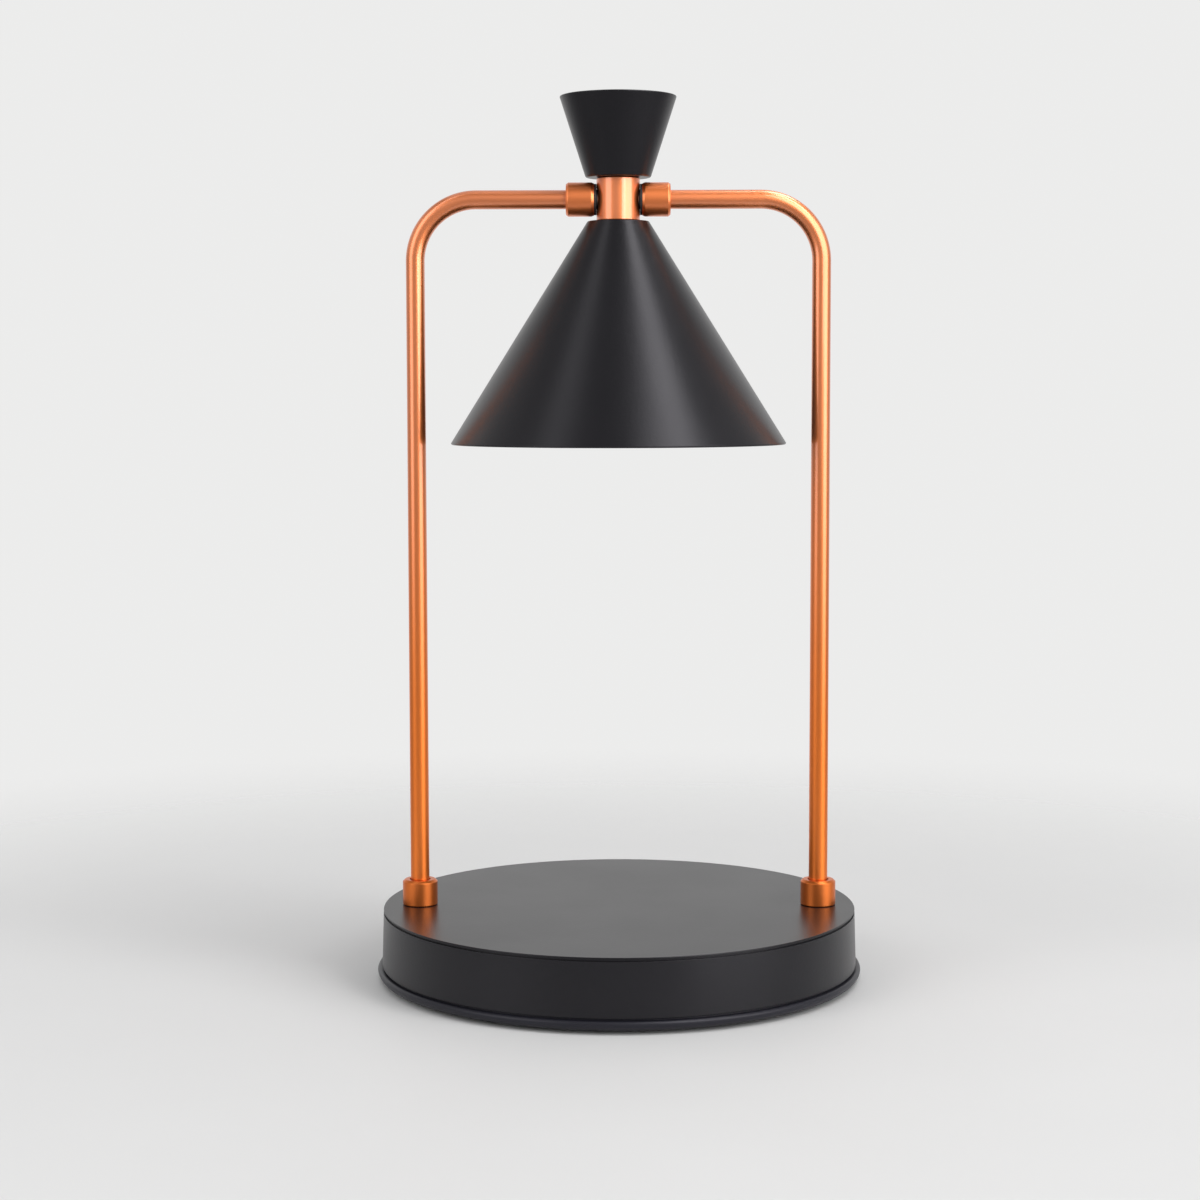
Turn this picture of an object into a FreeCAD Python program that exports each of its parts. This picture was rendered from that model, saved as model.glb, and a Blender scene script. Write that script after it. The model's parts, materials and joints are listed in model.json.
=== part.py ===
"""Candle warmer lamp: a weighted round base, two bent posts that meet at a tilting head, and under the
head a cone shade that holds a twist-lock reflector bulb over the candle.

Millimetres, +Z up, +X towards the right-hand post, -Y towards the user. The origin is on the table, at
the centre of the feet's circle.
"""
import FreeCAD, Part
import math
import os

V = FreeCAD.Vector

# ---------------------------------------------------------------- driving sizes, in millimetres
# Base: a pressed shell that sits in the rounded flange of the bottom plate
FOOT_STAND = 1.2            # daylight that the rubber feet leave under the plate
FLANGE_UNDER_R = 2.2        # lower round of the flange
FLANGE_OVER_R = 1.0         # upper round of the flange
FLANGE_PROUD = 1.5          # flange beyond the shell's lower edge
GROOVE_H = 0.5              # shadow groove between flange and shell
GROOVE_DEPTH = 0.7
SHELL_H = 19.3
SHELL_TOP_R = 80.4
SHELL_DRAFT = 0.6           # the shell widens by this much from top to bottom
SHELL_WALL = 1.4
SHELL_EDGE_R = 0.8
PLATE_T = 2.4
SPIGOT_H = 2.6              # rim of the plate that locates the shell
SPIGOT_WALL = 1.8
SPIGOT_GAP = 0.2

# Screws, bosses, feet and weight inside the base
BOSS_CIRCLE_R = 44.0
BOSS_R = 4.0
BOSS_LEN = 12.0
SCREW_COUNT = 4
SCREW_R = 1.5
SCREW_LEN = 14.0
SCREW_HEAD_R = 2.8
SCREW_HEAD_T = 2.0
SCREW_RECESS = 3.0          # from the plate's underside up to the screw head's seat
FOOT_INSET = 12.4           # from the shell's top edge in to each foot's centre
FOOT_R = 6.0
FOOT_RECESS = 1.0
WEIGHT_T = 8.0
WEIGHT_CLEAR = 1.8          # from the weight's rim to the post nuts' corners
PILLAR_CLEAR = 0.4          # round each screw pillar where it passes through the weight

# Wiring inside the base
BLOCK_X = 16.0
BLOCK_Y = 18.0
BLOCK_H = 12.0
BLOCK_INSET = 28.4          # from the shell's top edge in to the terminal block's centre
BLOCK_CLEAR = 2.0
POLE_SPACING = 8.0
INSERT_R = 2.4
INSERT_BORE_R = 1.5
TERMINAL_SCREW_R = 1.4
TERMINAL_SCREW_SPACING = 9.0
INLET_BORE_R = 3.0
INLET_NECK_R = 4.5
INLET_FLANGE_R = 6.0
INLET_FLANGE_T = 1.3
INLET_INSIDE = 2.6          # how far the grommet reaches inside the shell's wall

# Posts: one bent tube on each side, threaded at both ends
POST_INSET = 12.2           # from the shell's top edge in to each post's centreline
TUBE_R = 3.175
TUBE_WALL = 0.8
ARCH_H = 239.3              # arch centreline above the base's top
BEND_R = 20.5
POST_HOLE_CLEAR = 0.1
BASE_COLLAR_R = 5.95
BASE_COLLAR_H = 8.8
COLLAR_MOUTH_GAP = 0.4      # dark gap round the tube at the top of the base collar
COLLAR_MOUTH_DEPTH = 2.0
COLLAR_CHAMFER = 0.8
POST_WASHER_T = 1.0
POST_WASHER_R = 6.2
WASHER_TEETH = 8
POST_NUT_FLATS = 11.0
POST_NUT_T = 3.5
POST_TAIL = 1.3             # thread that shows below the nut
LEAD_R = 1.5
LEAD_CLEAR = 0.15
LEAD_LIFT = 0.3             # between the lead and the weight it crosses
LEAD_CORNER_Y = 18.0        # where the lead turns back towards the terminal block
LEAD_CORNER_R = 14.0
BUSH_FLANGE_T = 0.8
BUSH_NECK = 4.0

# Head pivot: a collar on each post end, a hollow screw through each, and the barrel they carry
HEAD_COLLAR_R = 5.7
HEAD_COLLAR_LEN = 9.4
COLLAR_THREAD_LEN = 5.0     # tube inside the head collar
BARREL_R = 7.3
BARREL_H = 14.5
BARREL_EDGE = 0.4
BARREL_GAP = 0.8            # from the barrel's side to the collar's face
FLAT_DEPTH = 0.5            # spot face on the barrel for the friction washer
FRICTION_WASHER_R = 3.4
CAVITY_R = 4.45
PIVOT_R = 2.8
PIVOT_BORE_R = 2.0
PIVOT_RUN = 0.05            # running clearance of everything that turns at the pivot
PIVOT_FLANGE_R = 3.9
PIVOT_FLANGE_T = 1.1
PIVOT_SEAT_CLEAR = 0.3
PIVOT_ENGAGE = 4.0          # thread of the hollow screw inside the collar
STOP_PIN_R = 0.5
STOP_PIN_ORBIT = 3.55       # distance of the stop pin from the tilt axis
TILT_LIMIT = 45.0           # degrees each way
STOP_CLEAR_DEG = 1.5

# Upper cone
CONE_BOTTOM_R = 10.9
CONE_TOP_R = 19.6
CONE_H = 26.85
CONE_WALL = 1.0
CONE_EDGE_R = 0.8
STUD_R = 3.0
STUD_ABOVE = 8.0            # stud above the barrel
CONE_WASHER_R = 6.2
CONE_WASHER_T = 0.8
CONE_NUT_FLATS = 10.0
CONE_NUT_T = 5.0
CONE_NUT_BORE = 6.5

# Shade and the stem it hangs on
SHADE_TOP_R = 10.3
SHADE_RIM_R = 56.5
SHADE_H = 74.55
SHADE_WALL = 1.2            # measured square to the slope
SHADE_CROWN_T = 1.0
STEM_R = 5.0
STEM_BORE_R = 3.6
STEM_HOLE_CLEAR = 0.1
STEM_TAIL = 1.0
STEM_TOP_CLEAR = 0.2        # between the stem's top and the pivot screw's flange
STEM_WASHER_R = 7.6
STEM_WASHER_T = 0.8
STEM_NUT_FLATS = 13.0
SHADE_NUT_T = 3.5
PLATE_NUT_T = 3.0

# Lampholder: porcelain in two halves, screwed up to a round steel plate
HOLDER_PLATE_R = 11.7
HOLDER_PLATE_T = 1.2
HOLDER_R = 12.4
HOLDER_H = 16.0
HOLDER_EDGE = 0.4
FACE_T = 3.4                # lower half, with the keyhole slots
WELL_DEPTH = 5.0
WELL_CLEAR = 0.4
HOLDER_SCREW_Y = 9.2
HOLDER_SCREW_R = 1.25
HOLDER_SCREW_HEAD_R = 2.3
HOLDER_SCREW_HEAD_T = 1.6
CONTACT_W = 1.5
CONTACT_T = 0.6
CONTACT_REACH = 6.5
CONTACT_BACK = 1.2
CORE_R = 0.65
CORE_OFFSET = 0.95          # each core's distance from the centre plane

# Reflector bulb with two headed pins
PIN_ORBIT = 5.0
PIN_NECK_R = 1.55
PIN_HEAD_R = 2.5
PIN_HEAD_T = 2.2
PIN_ROOT = 3.0
SLOT_CLEAR = 0.3
TWIST = 30.0                # degrees from locked to free
BULB_GAP = 0.2              # between the bulb's cap and the holder's face
BULB_R = 25.0
BULB_LEN = 46.3
BULB_CAP_R = 11.4
BULB_CAP_LEN = 15.5
BULB_CAP_FLAT = 9.4         # half width across the cap's two flats
BULB_NECK_R = 9.6
REFLECTOR_WALL = 1.2
REFLECTOR_RINGS = 7
RIM_LEN = 3.4
RIM_LIP = 0.9
LENS_T = 1.6
CAPSULE_R = 4.3
CAPSULE_LEN = 15.0
CAPSULE_SEAT = 4.0

# ---------------------------------------------------------------- heights and places that follow
POST_X = SHELL_TOP_R - POST_INSET
FOOT_CIRCLE_R = SHELL_TOP_R - FOOT_INSET
BLOCK_CENTRE_Y = SHELL_TOP_R - BLOCK_INSET
FLANGE_T = FLANGE_UNDER_R + FLANGE_OVER_R
FLANGE_TOP_Z = FOOT_STAND + FLANGE_T
SHELL_Z = FLANGE_TOP_Z + GROOVE_H
BASE_TOP_Z = SHELL_Z + SHELL_H
ROOF_Z = BASE_TOP_Z - SHELL_WALL
FLOOR_Z = FOOT_STAND + PLATE_T
SHELL_BOTTOM_R = SHELL_TOP_R + SHELL_DRAFT
FLANGE_R = SHELL_BOTTOM_R + FLANGE_PROUD
WEIGHT_TOP_Z = FLOOR_Z + WEIGHT_T
PILLAR_TOP_Z = ROOF_Z - BOSS_LEN
SCREW_SEAT_Z = FOOT_STAND + SCREW_RECESS
INLET_Z = SHELL_Z + SPIGOT_H + INLET_FLANGE_R

ARCH_Z = BASE_TOP_Z + ARCH_H
POST_NUT_TOP_Z = ROOF_Z - POST_WASHER_T
POST_NUT_Z = POST_NUT_TOP_Z - POST_NUT_T
POST_END_Z = POST_NUT_Z - POST_TAIL
POST_NUT_CORNER_R = POST_NUT_FLATS / math.sqrt(3)
LEAD_Z = WEIGHT_TOP_Z + LEAD_LIFT + LEAD_R
BUSH_Z = POST_END_Z - BUSH_FLANGE_T

COLLAR_FACE_X = BARREL_R + BARREL_GAP
COLLAR_BACK_X = COLLAR_FACE_X + HEAD_COLLAR_LEN
TUBE_END_X = COLLAR_BACK_X - COLLAR_THREAD_LEN
FLAT_X = BARREL_R - FLAT_DEPTH
SEAT_X = CAVITY_R
PIVOT_FLANGE_X = SEAT_X - PIVOT_RUN
PIVOT_INNER_X = PIVOT_FLANGE_X - PIVOT_FLANGE_T
BARREL_TOP_Z = ARCH_Z + BARREL_H / 2
BARREL_BOTTOM_Z = ARCH_Z - BARREL_H / 2
SEAT_POCKET_R = PIVOT_FLANGE_R + PIVOT_SEAT_CLEAR
CAVITY_TOP_Z = ARCH_Z + SEAT_POCKET_R + 0.1
STEM_TOP_Z = ARCH_Z - PIVOT_FLANGE_R - STEM_TOP_CLEAR

CONE_TOP_Z = BARREL_TOP_Z + CONE_H
SHADE_TOP_Z = BARREL_BOTTOM_Z
SHADE_RIM_Z = SHADE_TOP_Z - SHADE_H
CROWN_Z = SHADE_TOP_Z - SHADE_CROWN_T
SHADE_NUT_TOP_Z = CROWN_Z - STEM_WASHER_T
SHADE_NUT_Z = SHADE_NUT_TOP_Z - SHADE_NUT_T
HOLDER_TOP_Z = SHADE_NUT_Z - HOLDER_PLATE_T
PLATE_NUT_Z = HOLDER_TOP_Z - PLATE_NUT_T
STEM_END_Z = PLATE_NUT_Z - STEM_TAIL
HOLDER_Z = HOLDER_TOP_Z - HOLDER_H
FACE_TOP_Z = HOLDER_Z + FACE_T
WELL_Z = HOLDER_TOP_Z - WELL_DEPTH
BULB_TOP_Z = HOLDER_Z - BULB_GAP
PIN_HEAD_Z = FACE_TOP_Z + 0.1
PIN_TOP_Z = PIN_HEAD_Z + PIN_HEAD_T
CHANNEL_TOP_Z = PIN_TOP_Z + SLOT_CLEAR
BULB_CAP_Z = BULB_TOP_Z - BULB_CAP_LEN
BULB_FRONT_Z = BULB_TOP_Z - BULB_LEN
RIM_TOP_Z = BULB_FRONT_Z + RIM_LEN

SIDES = {"left": -1, "right": 1}
DIAGONALS = [45.0 + 360.0 / SCREW_COUNT * turn for turn in range(SCREW_COUNT)]


# ---------------------------------------------------------------- shape helpers
def rod(radius, bottom, top, x=0.0, y=0.0):
    """An upright cylinder."""
    return Part.makeCylinder(radius, top - bottom, V(x, y, bottom))


def ring(outer_r, inner_r, bottom, top, x=0.0, y=0.0):
    """An upright tube or washer."""
    return rod(outer_r, bottom, top, x, y).cut(rod(inner_r, bottom, top, x, y))


def cross_rod(radius, x_from, x_to, y=0.0, z=ARCH_Z):
    """A cylinder along X, on the tilt axis unless y and z say otherwise."""
    low = min(x_from, x_to)
    return Part.makeCylinder(radius, abs(x_to - x_from), V(low, y, z), V(1, 0, 0))


def rear_rod(radius, y_from, y_to, x=0.0, z=INLET_Z):
    """A cylinder along Y."""
    return Part.makeCylinder(radius, y_to - y_from, V(x, y_from, z), V(0, 1, 0))


def block(x_from, x_to, y_from, y_to, z_from, z_to):
    """A rectangular block between two corners."""
    return Part.makeBox(x_to - x_from, y_to - y_from, z_to - z_from, V(x_from, y_from, z_from))


def turned(outline):
    """Revolve a closed outline of (radius, height) points about the Z axis."""
    points = [V(radius, 0, height) for radius, height in outline]
    face = Part.Face(Part.makePolygon(points + points[:1]))
    return face.revolve(V(0, 0, 0), V(0, 0, 1), 360)


def turned_edges(edges):
    """Revolve a closed run of edges in the XZ plane about the Z axis."""
    return Part.Face(Part.Wire(edges)).revolve(V(0, 0, 0), V(0, 0, 1), 360)


def line(start, end):
    """A straight edge between two (radius, height) points."""
    return Part.LineSegment(V(start[0], 0, start[1]), V(end[0], 0, end[1])).toShape()


def arc(start, middle, end):
    """A round edge through three (radius, height) points."""
    points = [V(radius, 0, height) for radius, height in (start, middle, end)]
    return Part.Arc(*points).toShape()


def hexagon(flats, bottom, top, x=0.0, y=0.0):
    """A hexagonal prism with two of its flats facing +Y and -Y."""
    corner_r = flats / math.sqrt(3)
    angles = [math.radians(60 * side) for side in range(6)]
    corners = [V(x + corner_r * math.cos(a), y + corner_r * math.sin(a), bottom) for a in angles]
    return Part.Face(Part.makePolygon(corners + corners[:1])).extrude(V(0, 0, top - bottom))


def nut(flats, bore_r, bottom, top, x=0.0, y=0.0):
    """A hexagon nut whose corners are rounded off by a turned chamfer on both faces."""
    corner_r = flats / math.sqrt(3)
    chamfer = corner_r - flats / 2
    body = hexagon(flats, bottom, top, x, y)
    drum = bevelled_rod(corner_r, bottom, top, chamfer * 0.6, x, y)
    return body.common(drum).cut(rod(bore_r, bottom, top, x, y))


def bevelled_rod(radius, bottom, top, bevel, x=0.0, y=0.0):
    """An upright cylinder with a bevel at both ends."""
    outline = [(0, bottom), (radius - bevel, bottom), (radius, bottom + bevel),
               (radius, top - bevel), (radius - bevel, top), (0, top)]
    return turned(outline).translated(V(x, y, 0))


def toothed_washer(outer_r, bore_r, bottom, top, x=0.0, y=0.0):
    """A lock washer with teeth cut round its outer edge."""
    washer = ring(outer_r, bore_r, bottom, top, x, y)
    depth = (outer_r - bore_r) * 0.4
    notch = block(outer_r - depth, outer_r + 1, -0.6, 0.6, bottom - 1, top + 1)
    for tooth in range(WASHER_TEETH):
        turned_notch = notch.rotated(V(0, 0, 0), V(0, 0, 1), 360.0 / WASHER_TEETH * tooth)
        washer = washer.cut(turned_notch.translated(V(x, y, 0)))
    return washer


def polar(radius, degrees):
    """X and Y of a point on a circle about the Z axis."""
    return radius * math.cos(math.radians(degrees)), radius * math.sin(math.radians(degrees))


def route(corners, radii):
    """A path of straight runs joined by tangent arcs, with one radius for each inner corner."""
    edges = []
    start = corners[0]
    for before, corner, after, radius in zip(corners, corners[1:], corners[2:], radii):
        to_before = (before - corner).normalize()
        to_after = (after - corner).normalize()
        half_turn = (math.pi - to_before.getAngle(to_after)) / 2
        arc_start = corner + to_before * (radius * math.tan(half_turn))
        arc_end = corner + to_after * (radius * math.tan(half_turn))
        inward = (to_before + to_after).normalize()
        arc_middle = corner + inward * (radius / math.cos(half_turn) - radius)
        edges.append(Part.LineSegment(start, arc_start).toShape())
        edges.append(Part.Arc(arc_start, arc_middle, arc_end).toShape())
        start = arc_end
    edges.append(Part.LineSegment(start, corners[-1]).toShape())
    return Part.Wire(edges)


def swept(path, radius):
    """A round bar along a path."""
    start = path.Edges[0]
    at = start.valueAt(start.FirstParameter)
    along = start.tangentAt(start.FirstParameter)
    circle = Part.Wire(Part.makeCircle(radius, at, along))
    return path.makePipeShell([circle], True, False)


def arc_slot(orbit_r, half_width, from_deg, to_deg, bottom, top):
    """A slot curved about the Z axis, with round ends at both angles."""
    sweep = Part.makeCylinder(orbit_r + half_width, top - bottom, V(0, 0, bottom), V(0, 0, 1),
                              to_deg - from_deg)
    sweep = sweep.cut(rod(orbit_r - half_width, bottom, top))
    sweep = sweep.rotated(V(0, 0, 0), V(0, 0, 1), from_deg)
    ends = [rod(half_width, bottom, top, *polar(orbit_r, angle)) for angle in (from_deg, to_deg)]
    return sweep.multiFuse(ends)


def half_turn_pair(shape):
    """The shape and its copy half a turn round the Z axis, as separate solids."""
    return [shape, shape.rotated(V(0, 0, 0), V(0, 0, 1), 180)]


def round_edges(shape, radius, height, edge_r):
    """Fillet the circles of one radius at one height."""
    picked = []
    for edge in shape.Edges:
        curve = edge.Curve
        if not isinstance(curve, Part.Circle):
            continue
        if abs(curve.Radius - radius) < 0.01 and abs(curve.Center.z - height) < 0.01:
            picked.append(edge)
    return shape.makeFillet(edge_r, picked)


# ---------------------------------------------------------------- base
def base_shell():
    """Pressed shell with a rounded top edge, a hole for each post, screw bosses and the inlet hole."""
    outer = turned([(0, SHELL_Z), (SHELL_BOTTOM_R, SHELL_Z), (SHELL_TOP_R, BASE_TOP_Z), (0, BASE_TOP_Z)])
    outer = round_edges(outer, SHELL_TOP_R, BASE_TOP_Z, SHELL_EDGE_R)
    inner = turned([(0, SHELL_Z), (SHELL_BOTTOM_R - SHELL_WALL, SHELL_Z),
                    (SHELL_TOP_R - SHELL_WALL, ROOF_Z), (0, ROOF_Z)])
    shell = outer.cut(inner)
    for angle in DIAGONALS:
        x, y = polar(BOSS_CIRCLE_R, angle)
        shell = shell.fuse(rod(BOSS_R, PILLAR_TOP_Z, ROOF_Z, x, y))
    for angle in DIAGONALS:
        x, y = polar(BOSS_CIRCLE_R, angle)
        shell = shell.cut(rod(SCREW_R, PILLAR_TOP_Z, SCREW_SEAT_Z + SCREW_LEN + 1, x, y))
    for side in SIDES.values():
        shell = shell.cut(rod(TUBE_R + POST_HOLE_CLEAR, ROOF_Z, BASE_TOP_Z, side * POST_X))
    return shell.cut(rear_rod(INLET_NECK_R, SHELL_TOP_R - 2 * SHELL_WALL - 2, FLANGE_R))


def base_plate():
    """Bottom plate: rounded flange, a land for the shell, a locating rim and four screw pillars."""
    land_r = SHELL_BOTTOM_R - GROOVE_DEPTH
    rim_r = SHELL_BOTTOM_R - SHELL_WALL - SPIGOT_GAP
    rim_inner_r = rim_r - SPIGOT_WALL
    rim_top = SHELL_Z + SPIGOT_H
    under_r = FLANGE_R - FLANGE_UNDER_R
    under_z = FOOT_STAND + FLANGE_UNDER_R
    over_r = FLANGE_R - FLANGE_OVER_R
    slant = math.sqrt(0.5)
    under_middle = (under_r + FLANGE_UNDER_R * slant, under_z - FLANGE_UNDER_R * slant)
    over_middle = (over_r + FLANGE_OVER_R * slant, under_z + FLANGE_OVER_R * slant)
    plate = turned_edges([
        line((0, FOOT_STAND), (under_r, FOOT_STAND)),
        arc((under_r, FOOT_STAND), under_middle, (FLANGE_R, under_z)),
        arc((FLANGE_R, under_z), over_middle, (over_r, FLANGE_TOP_Z)),
        line((over_r, FLANGE_TOP_Z), (land_r, FLANGE_TOP_Z)),
        line((land_r, FLANGE_TOP_Z), (land_r, SHELL_Z)),
        line((land_r, SHELL_Z), (rim_r, SHELL_Z)),
        line((rim_r, SHELL_Z), (rim_r, rim_top)),
        line((rim_r, rim_top), (rim_inner_r, rim_top)),
        line((rim_inner_r, rim_top), (rim_inner_r, FLOOR_Z)),
        line((rim_inner_r, FLOOR_Z), (0, FLOOR_Z)),
        line((0, FLOOR_Z), (0, FOOT_STAND))])
    for angle in DIAGONALS:
        plate = plate.fuse(rod(BOSS_R, FLOOR_Z, PILLAR_TOP_Z, *polar(BOSS_CIRCLE_R, angle)))
    for angle in DIAGONALS:
        x, y = polar(BOSS_CIRCLE_R, angle)
        plate = plate.cut(rod(SCREW_HEAD_R + 0.4, FOOT_STAND, SCREW_SEAT_Z, x, y))
        plate = plate.cut(rod(SCREW_R + 0.2, SCREW_SEAT_Z, PILLAR_TOP_Z, x, y))
        foot_x, foot_y = polar(FOOT_CIRCLE_R, angle)
        plate = plate.cut(rod(FOOT_R, FOOT_STAND, FOOT_STAND + FOOT_RECESS, foot_x, foot_y))
    return plate


def rubber_feet():
    """Four bevelled pads pressed into recesses of the plate."""
    feet = []
    for angle in DIAGONALS:
        x, y = polar(FOOT_CIRCLE_R, angle)
        outline = [(0, 0), (FOOT_R - 0.4, 0), (FOOT_R, 0.4), (FOOT_R, FOOT_STAND + FOOT_RECESS),
                   (0, FOOT_STAND + FOOT_RECESS)]
        feet.append(turned(outline).translated(V(x, y, 0)))
    return Part.makeCompound(feet)


def base_screws():
    """Pan-head screws that pull the plate up to the shell's bosses."""
    screws = []
    for angle in DIAGONALS:
        x, y = polar(BOSS_CIRCLE_R, angle)
        head = bevelled_rod(SCREW_HEAD_R, SCREW_SEAT_Z - SCREW_HEAD_T, SCREW_SEAT_Z, 0.3, x, y)
        shank = rod(SCREW_R, SCREW_SEAT_Z, SCREW_SEAT_Z + SCREW_LEN, x, y)
        screws.append(head.fuse(shank).cut(cross_recess(x, y, SCREW_SEAT_Z - SCREW_HEAD_T, 1.1, 1.0)))
    return Part.makeCompound(screws)


def cross_recess(x, y, face_z, depth, reach):
    """Cross-shaped driver recess cut upwards into a screw head."""
    long_way = block(x - reach, x + reach, y - 0.3, y + 0.3, face_z, face_z + depth)
    return long_way.fuse(block(x - 0.3, x + 0.3, y - reach, y + reach, face_z, face_z + depth))


def counterweight():
    """Cast weight on the plate's floor, notched for the terminal block and bored for the pillars."""
    weight = rod(POST_X - POST_NUT_CORNER_R - WEIGHT_CLEAR, FLOOR_Z, WEIGHT_TOP_Z)
    notch_x = BLOCK_X / 2 + BLOCK_CLEAR
    weight = weight.cut(block(-notch_x, notch_x, BLOCK_CENTRE_Y - BLOCK_Y / 2 - BLOCK_CLEAR, POST_X,
                              FLOOR_Z, WEIGHT_TOP_Z))
    for angle in DIAGONALS:
        weight = weight.cut(rod(BOSS_R + PILLAR_CLEAR, FLOOR_Z, WEIGHT_TOP_Z,
                                *polar(BOSS_CIRCLE_R, angle)))
    return weight


def terminal_places():
    """X and Y of the four terminal screws."""
    half = TERMINAL_SCREW_SPACING / 2
    return [(side * POLE_SPACING / 2, BLOCK_CENTRE_Y + end * half) for side in (-1, 1) for end in (-1, 1)]


def terminal_block():
    """Two-pole terminal block on the plate's floor."""
    low_y = BLOCK_CENTRE_Y - BLOCK_Y / 2
    high_y = BLOCK_CENTRE_Y + BLOCK_Y / 2
    top = FLOOR_Z + BLOCK_H
    body = block(-BLOCK_X / 2, BLOCK_X / 2, low_y, high_y, FLOOR_Z, top)
    for x in (-POLE_SPACING / 2, POLE_SPACING / 2):
        body = body.cut(rear_rod(INSERT_R, low_y, high_y, x, FLOOR_Z + BLOCK_H / 2))
    for x, y in terminal_places():
        body = body.cut(rod(TERMINAL_SCREW_R + 0.3, FLOOR_Z + BLOCK_H / 2, top, x, y))
    return body


def terminal_inserts():
    """Brass tubes that clamp the cores inside the terminal block."""
    low_y = BLOCK_CENTRE_Y - BLOCK_Y / 2
    high_y = BLOCK_CENTRE_Y + BLOCK_Y / 2
    axis_z = FLOOR_Z + BLOCK_H / 2
    tubes = []
    for x in (-POLE_SPACING / 2, POLE_SPACING / 2):
        tube = rear_rod(INSERT_R, low_y, high_y, x, axis_z)
        tube = tube.cut(rear_rod(INSERT_BORE_R, low_y, high_y, x, axis_z))
        for place_x, place_y in terminal_places():
            if place_x == x:
                tube = tube.cut(rod(TERMINAL_SCREW_R, axis_z, axis_z + INSERT_R, x, place_y))
        tubes.append(tube)
    return Part.makeCompound(tubes)


def terminal_screws():
    """Slotted grub screws of the terminal block."""
    top = FLOOR_Z + BLOCK_H - 1
    bottom = FLOOR_Z + BLOCK_H / 2 + INSERT_BORE_R / 2
    screws = []
    for x, y in terminal_places():
        screw = rod(TERMINAL_SCREW_R, bottom, top, x, y)
        slot = block(x - TERMINAL_SCREW_R, x + TERMINAL_SCREW_R, y - 0.25, y + 0.25, top - 0.8, top)
        screws.append(screw.cut(slot))
    return Part.makeCompound(screws)


def cord_inlet(shell):
    """Grommet that grips both faces of the shell's rear wall round the inlet hole."""
    inside_y = SHELL_TOP_R - SHELL_WALL - INLET_INSIDE
    outside_y = SHELL_TOP_R + INLET_FLANGE_T
    flange = rear_rod(INLET_FLANGE_R, SHELL_TOP_R - SHELL_WALL / 2, outside_y)
    lip = rear_rod(INLET_FLANGE_R - 0.6, inside_y, SHELL_TOP_R - SHELL_WALL / 2)
    body = flange.fuse(lip).cut(shell)
    body = max(body.Solids, key=lambda solid: solid.Volume)
    return body.cut(rear_rod(INLET_BORE_R, inside_y, outside_y))


# ---------------------------------------------------------------- posts
def tube_route(side, end_z, end_x):
    """Centreline of a post: up from the base, round the bend and in to the head."""
    x = side * POST_X
    return route([V(x, 0, end_z), V(x, 0, ARCH_Z), V(side * end_x, 0, ARCH_Z)], [BEND_R])


def post(side):
    """Bent tube that runs from below the base's roof to the head collar."""
    path = tube_route(side, POST_END_Z, TUBE_END_X)
    return swept(path, TUBE_R).cut(swept(path, TUBE_R - TUBE_WALL))


def base_collar(side):
    """Threaded collar at the foot of a post, with an open mouth round the tube."""
    x = side * POST_X
    top = BASE_TOP_Z + BASE_COLLAR_H
    body = turned([(0, BASE_TOP_Z), (BASE_COLLAR_R - 0.3, BASE_TOP_Z), (BASE_COLLAR_R, BASE_TOP_Z + 0.3),
                   (BASE_COLLAR_R, top - COLLAR_CHAMFER), (BASE_COLLAR_R - COLLAR_CHAMFER, top), (0, top)])
    body = body.translated(V(x, 0, 0)).cut(rod(TUBE_R, BASE_TOP_Z, top, x))
    return body.cut(rod(TUBE_R + COLLAR_MOUTH_GAP, top - COLLAR_MOUTH_DEPTH, top, x))


def post_washers():
    """Toothed washer under the roof at each post."""
    washers = [toothed_washer(POST_WASHER_R, TUBE_R, POST_NUT_TOP_Z, ROOF_Z, side * POST_X)
               for side in SIDES.values()]
    return Part.makeCompound(washers)


def post_nuts():
    """Nut that clamps each post to the roof."""
    nuts = [nut(POST_NUT_FLATS, TUBE_R, POST_NUT_Z, POST_NUT_TOP_Z, side * POST_X)
            for side in SIDES.values()]
    return Part.makeCompound(nuts)


def lead_bush():
    """Plastic bush that keeps the lead off the left tube's cut edge."""
    x = -POST_X
    neck_r = TUBE_R - TUBE_WALL
    body = rod(neck_r, POST_END_Z, POST_END_Z + BUSH_NECK, x).fuse(rod(TUBE_R, BUSH_Z, POST_END_Z, x))
    return body.cut(rod(LEAD_R + LEAD_CLEAR, BUSH_Z, POST_END_Z + BUSH_NECK, x))


def post_lead():
    """Sheathed lead from the head, down the left post and across the base to the terminal block."""
    x = -POST_X
    corners = [V(-PIVOT_INNER_X, 0, ARCH_Z), V(x, 0, ARCH_Z), V(x, 0, LEAD_Z),
               V(0, LEAD_CORNER_Y, LEAD_Z), V(0, BLOCK_CENTRE_Y - BLOCK_Y / 2, LEAD_Z)]
    drop_r = BUSH_Z - LEAD_Z
    return swept(route(corners, [BEND_R, drop_r, LEAD_CORNER_R]), LEAD_R)


# ---------------------------------------------------------------- tilting head
def head_collar(side):
    """Collar on a post's end: the tube screws in from outside and the pivot screw from inside."""
    face_x = side * COLLAR_FACE_X
    back_x = side * COLLAR_BACK_X
    low, high = sorted((face_x, back_x))
    outline = [(0, low), (HEAD_COLLAR_R - COLLAR_CHAMFER, low), (HEAD_COLLAR_R, low + COLLAR_CHAMFER),
               (HEAD_COLLAR_R, high - COLLAR_CHAMFER), (HEAD_COLLAR_R - COLLAR_CHAMFER, high), (0, high)]
    body = turned(outline).rotated(V(0, 0, 0), V(0, 1, 0), 90).translated(V(0, 0, ARCH_Z))
    body = body.cut(cross_rod(TUBE_R, side * TUBE_END_X, back_x))
    return body.cut(cross_rod(PIVOT_R, face_x, side * TUBE_END_X))


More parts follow.
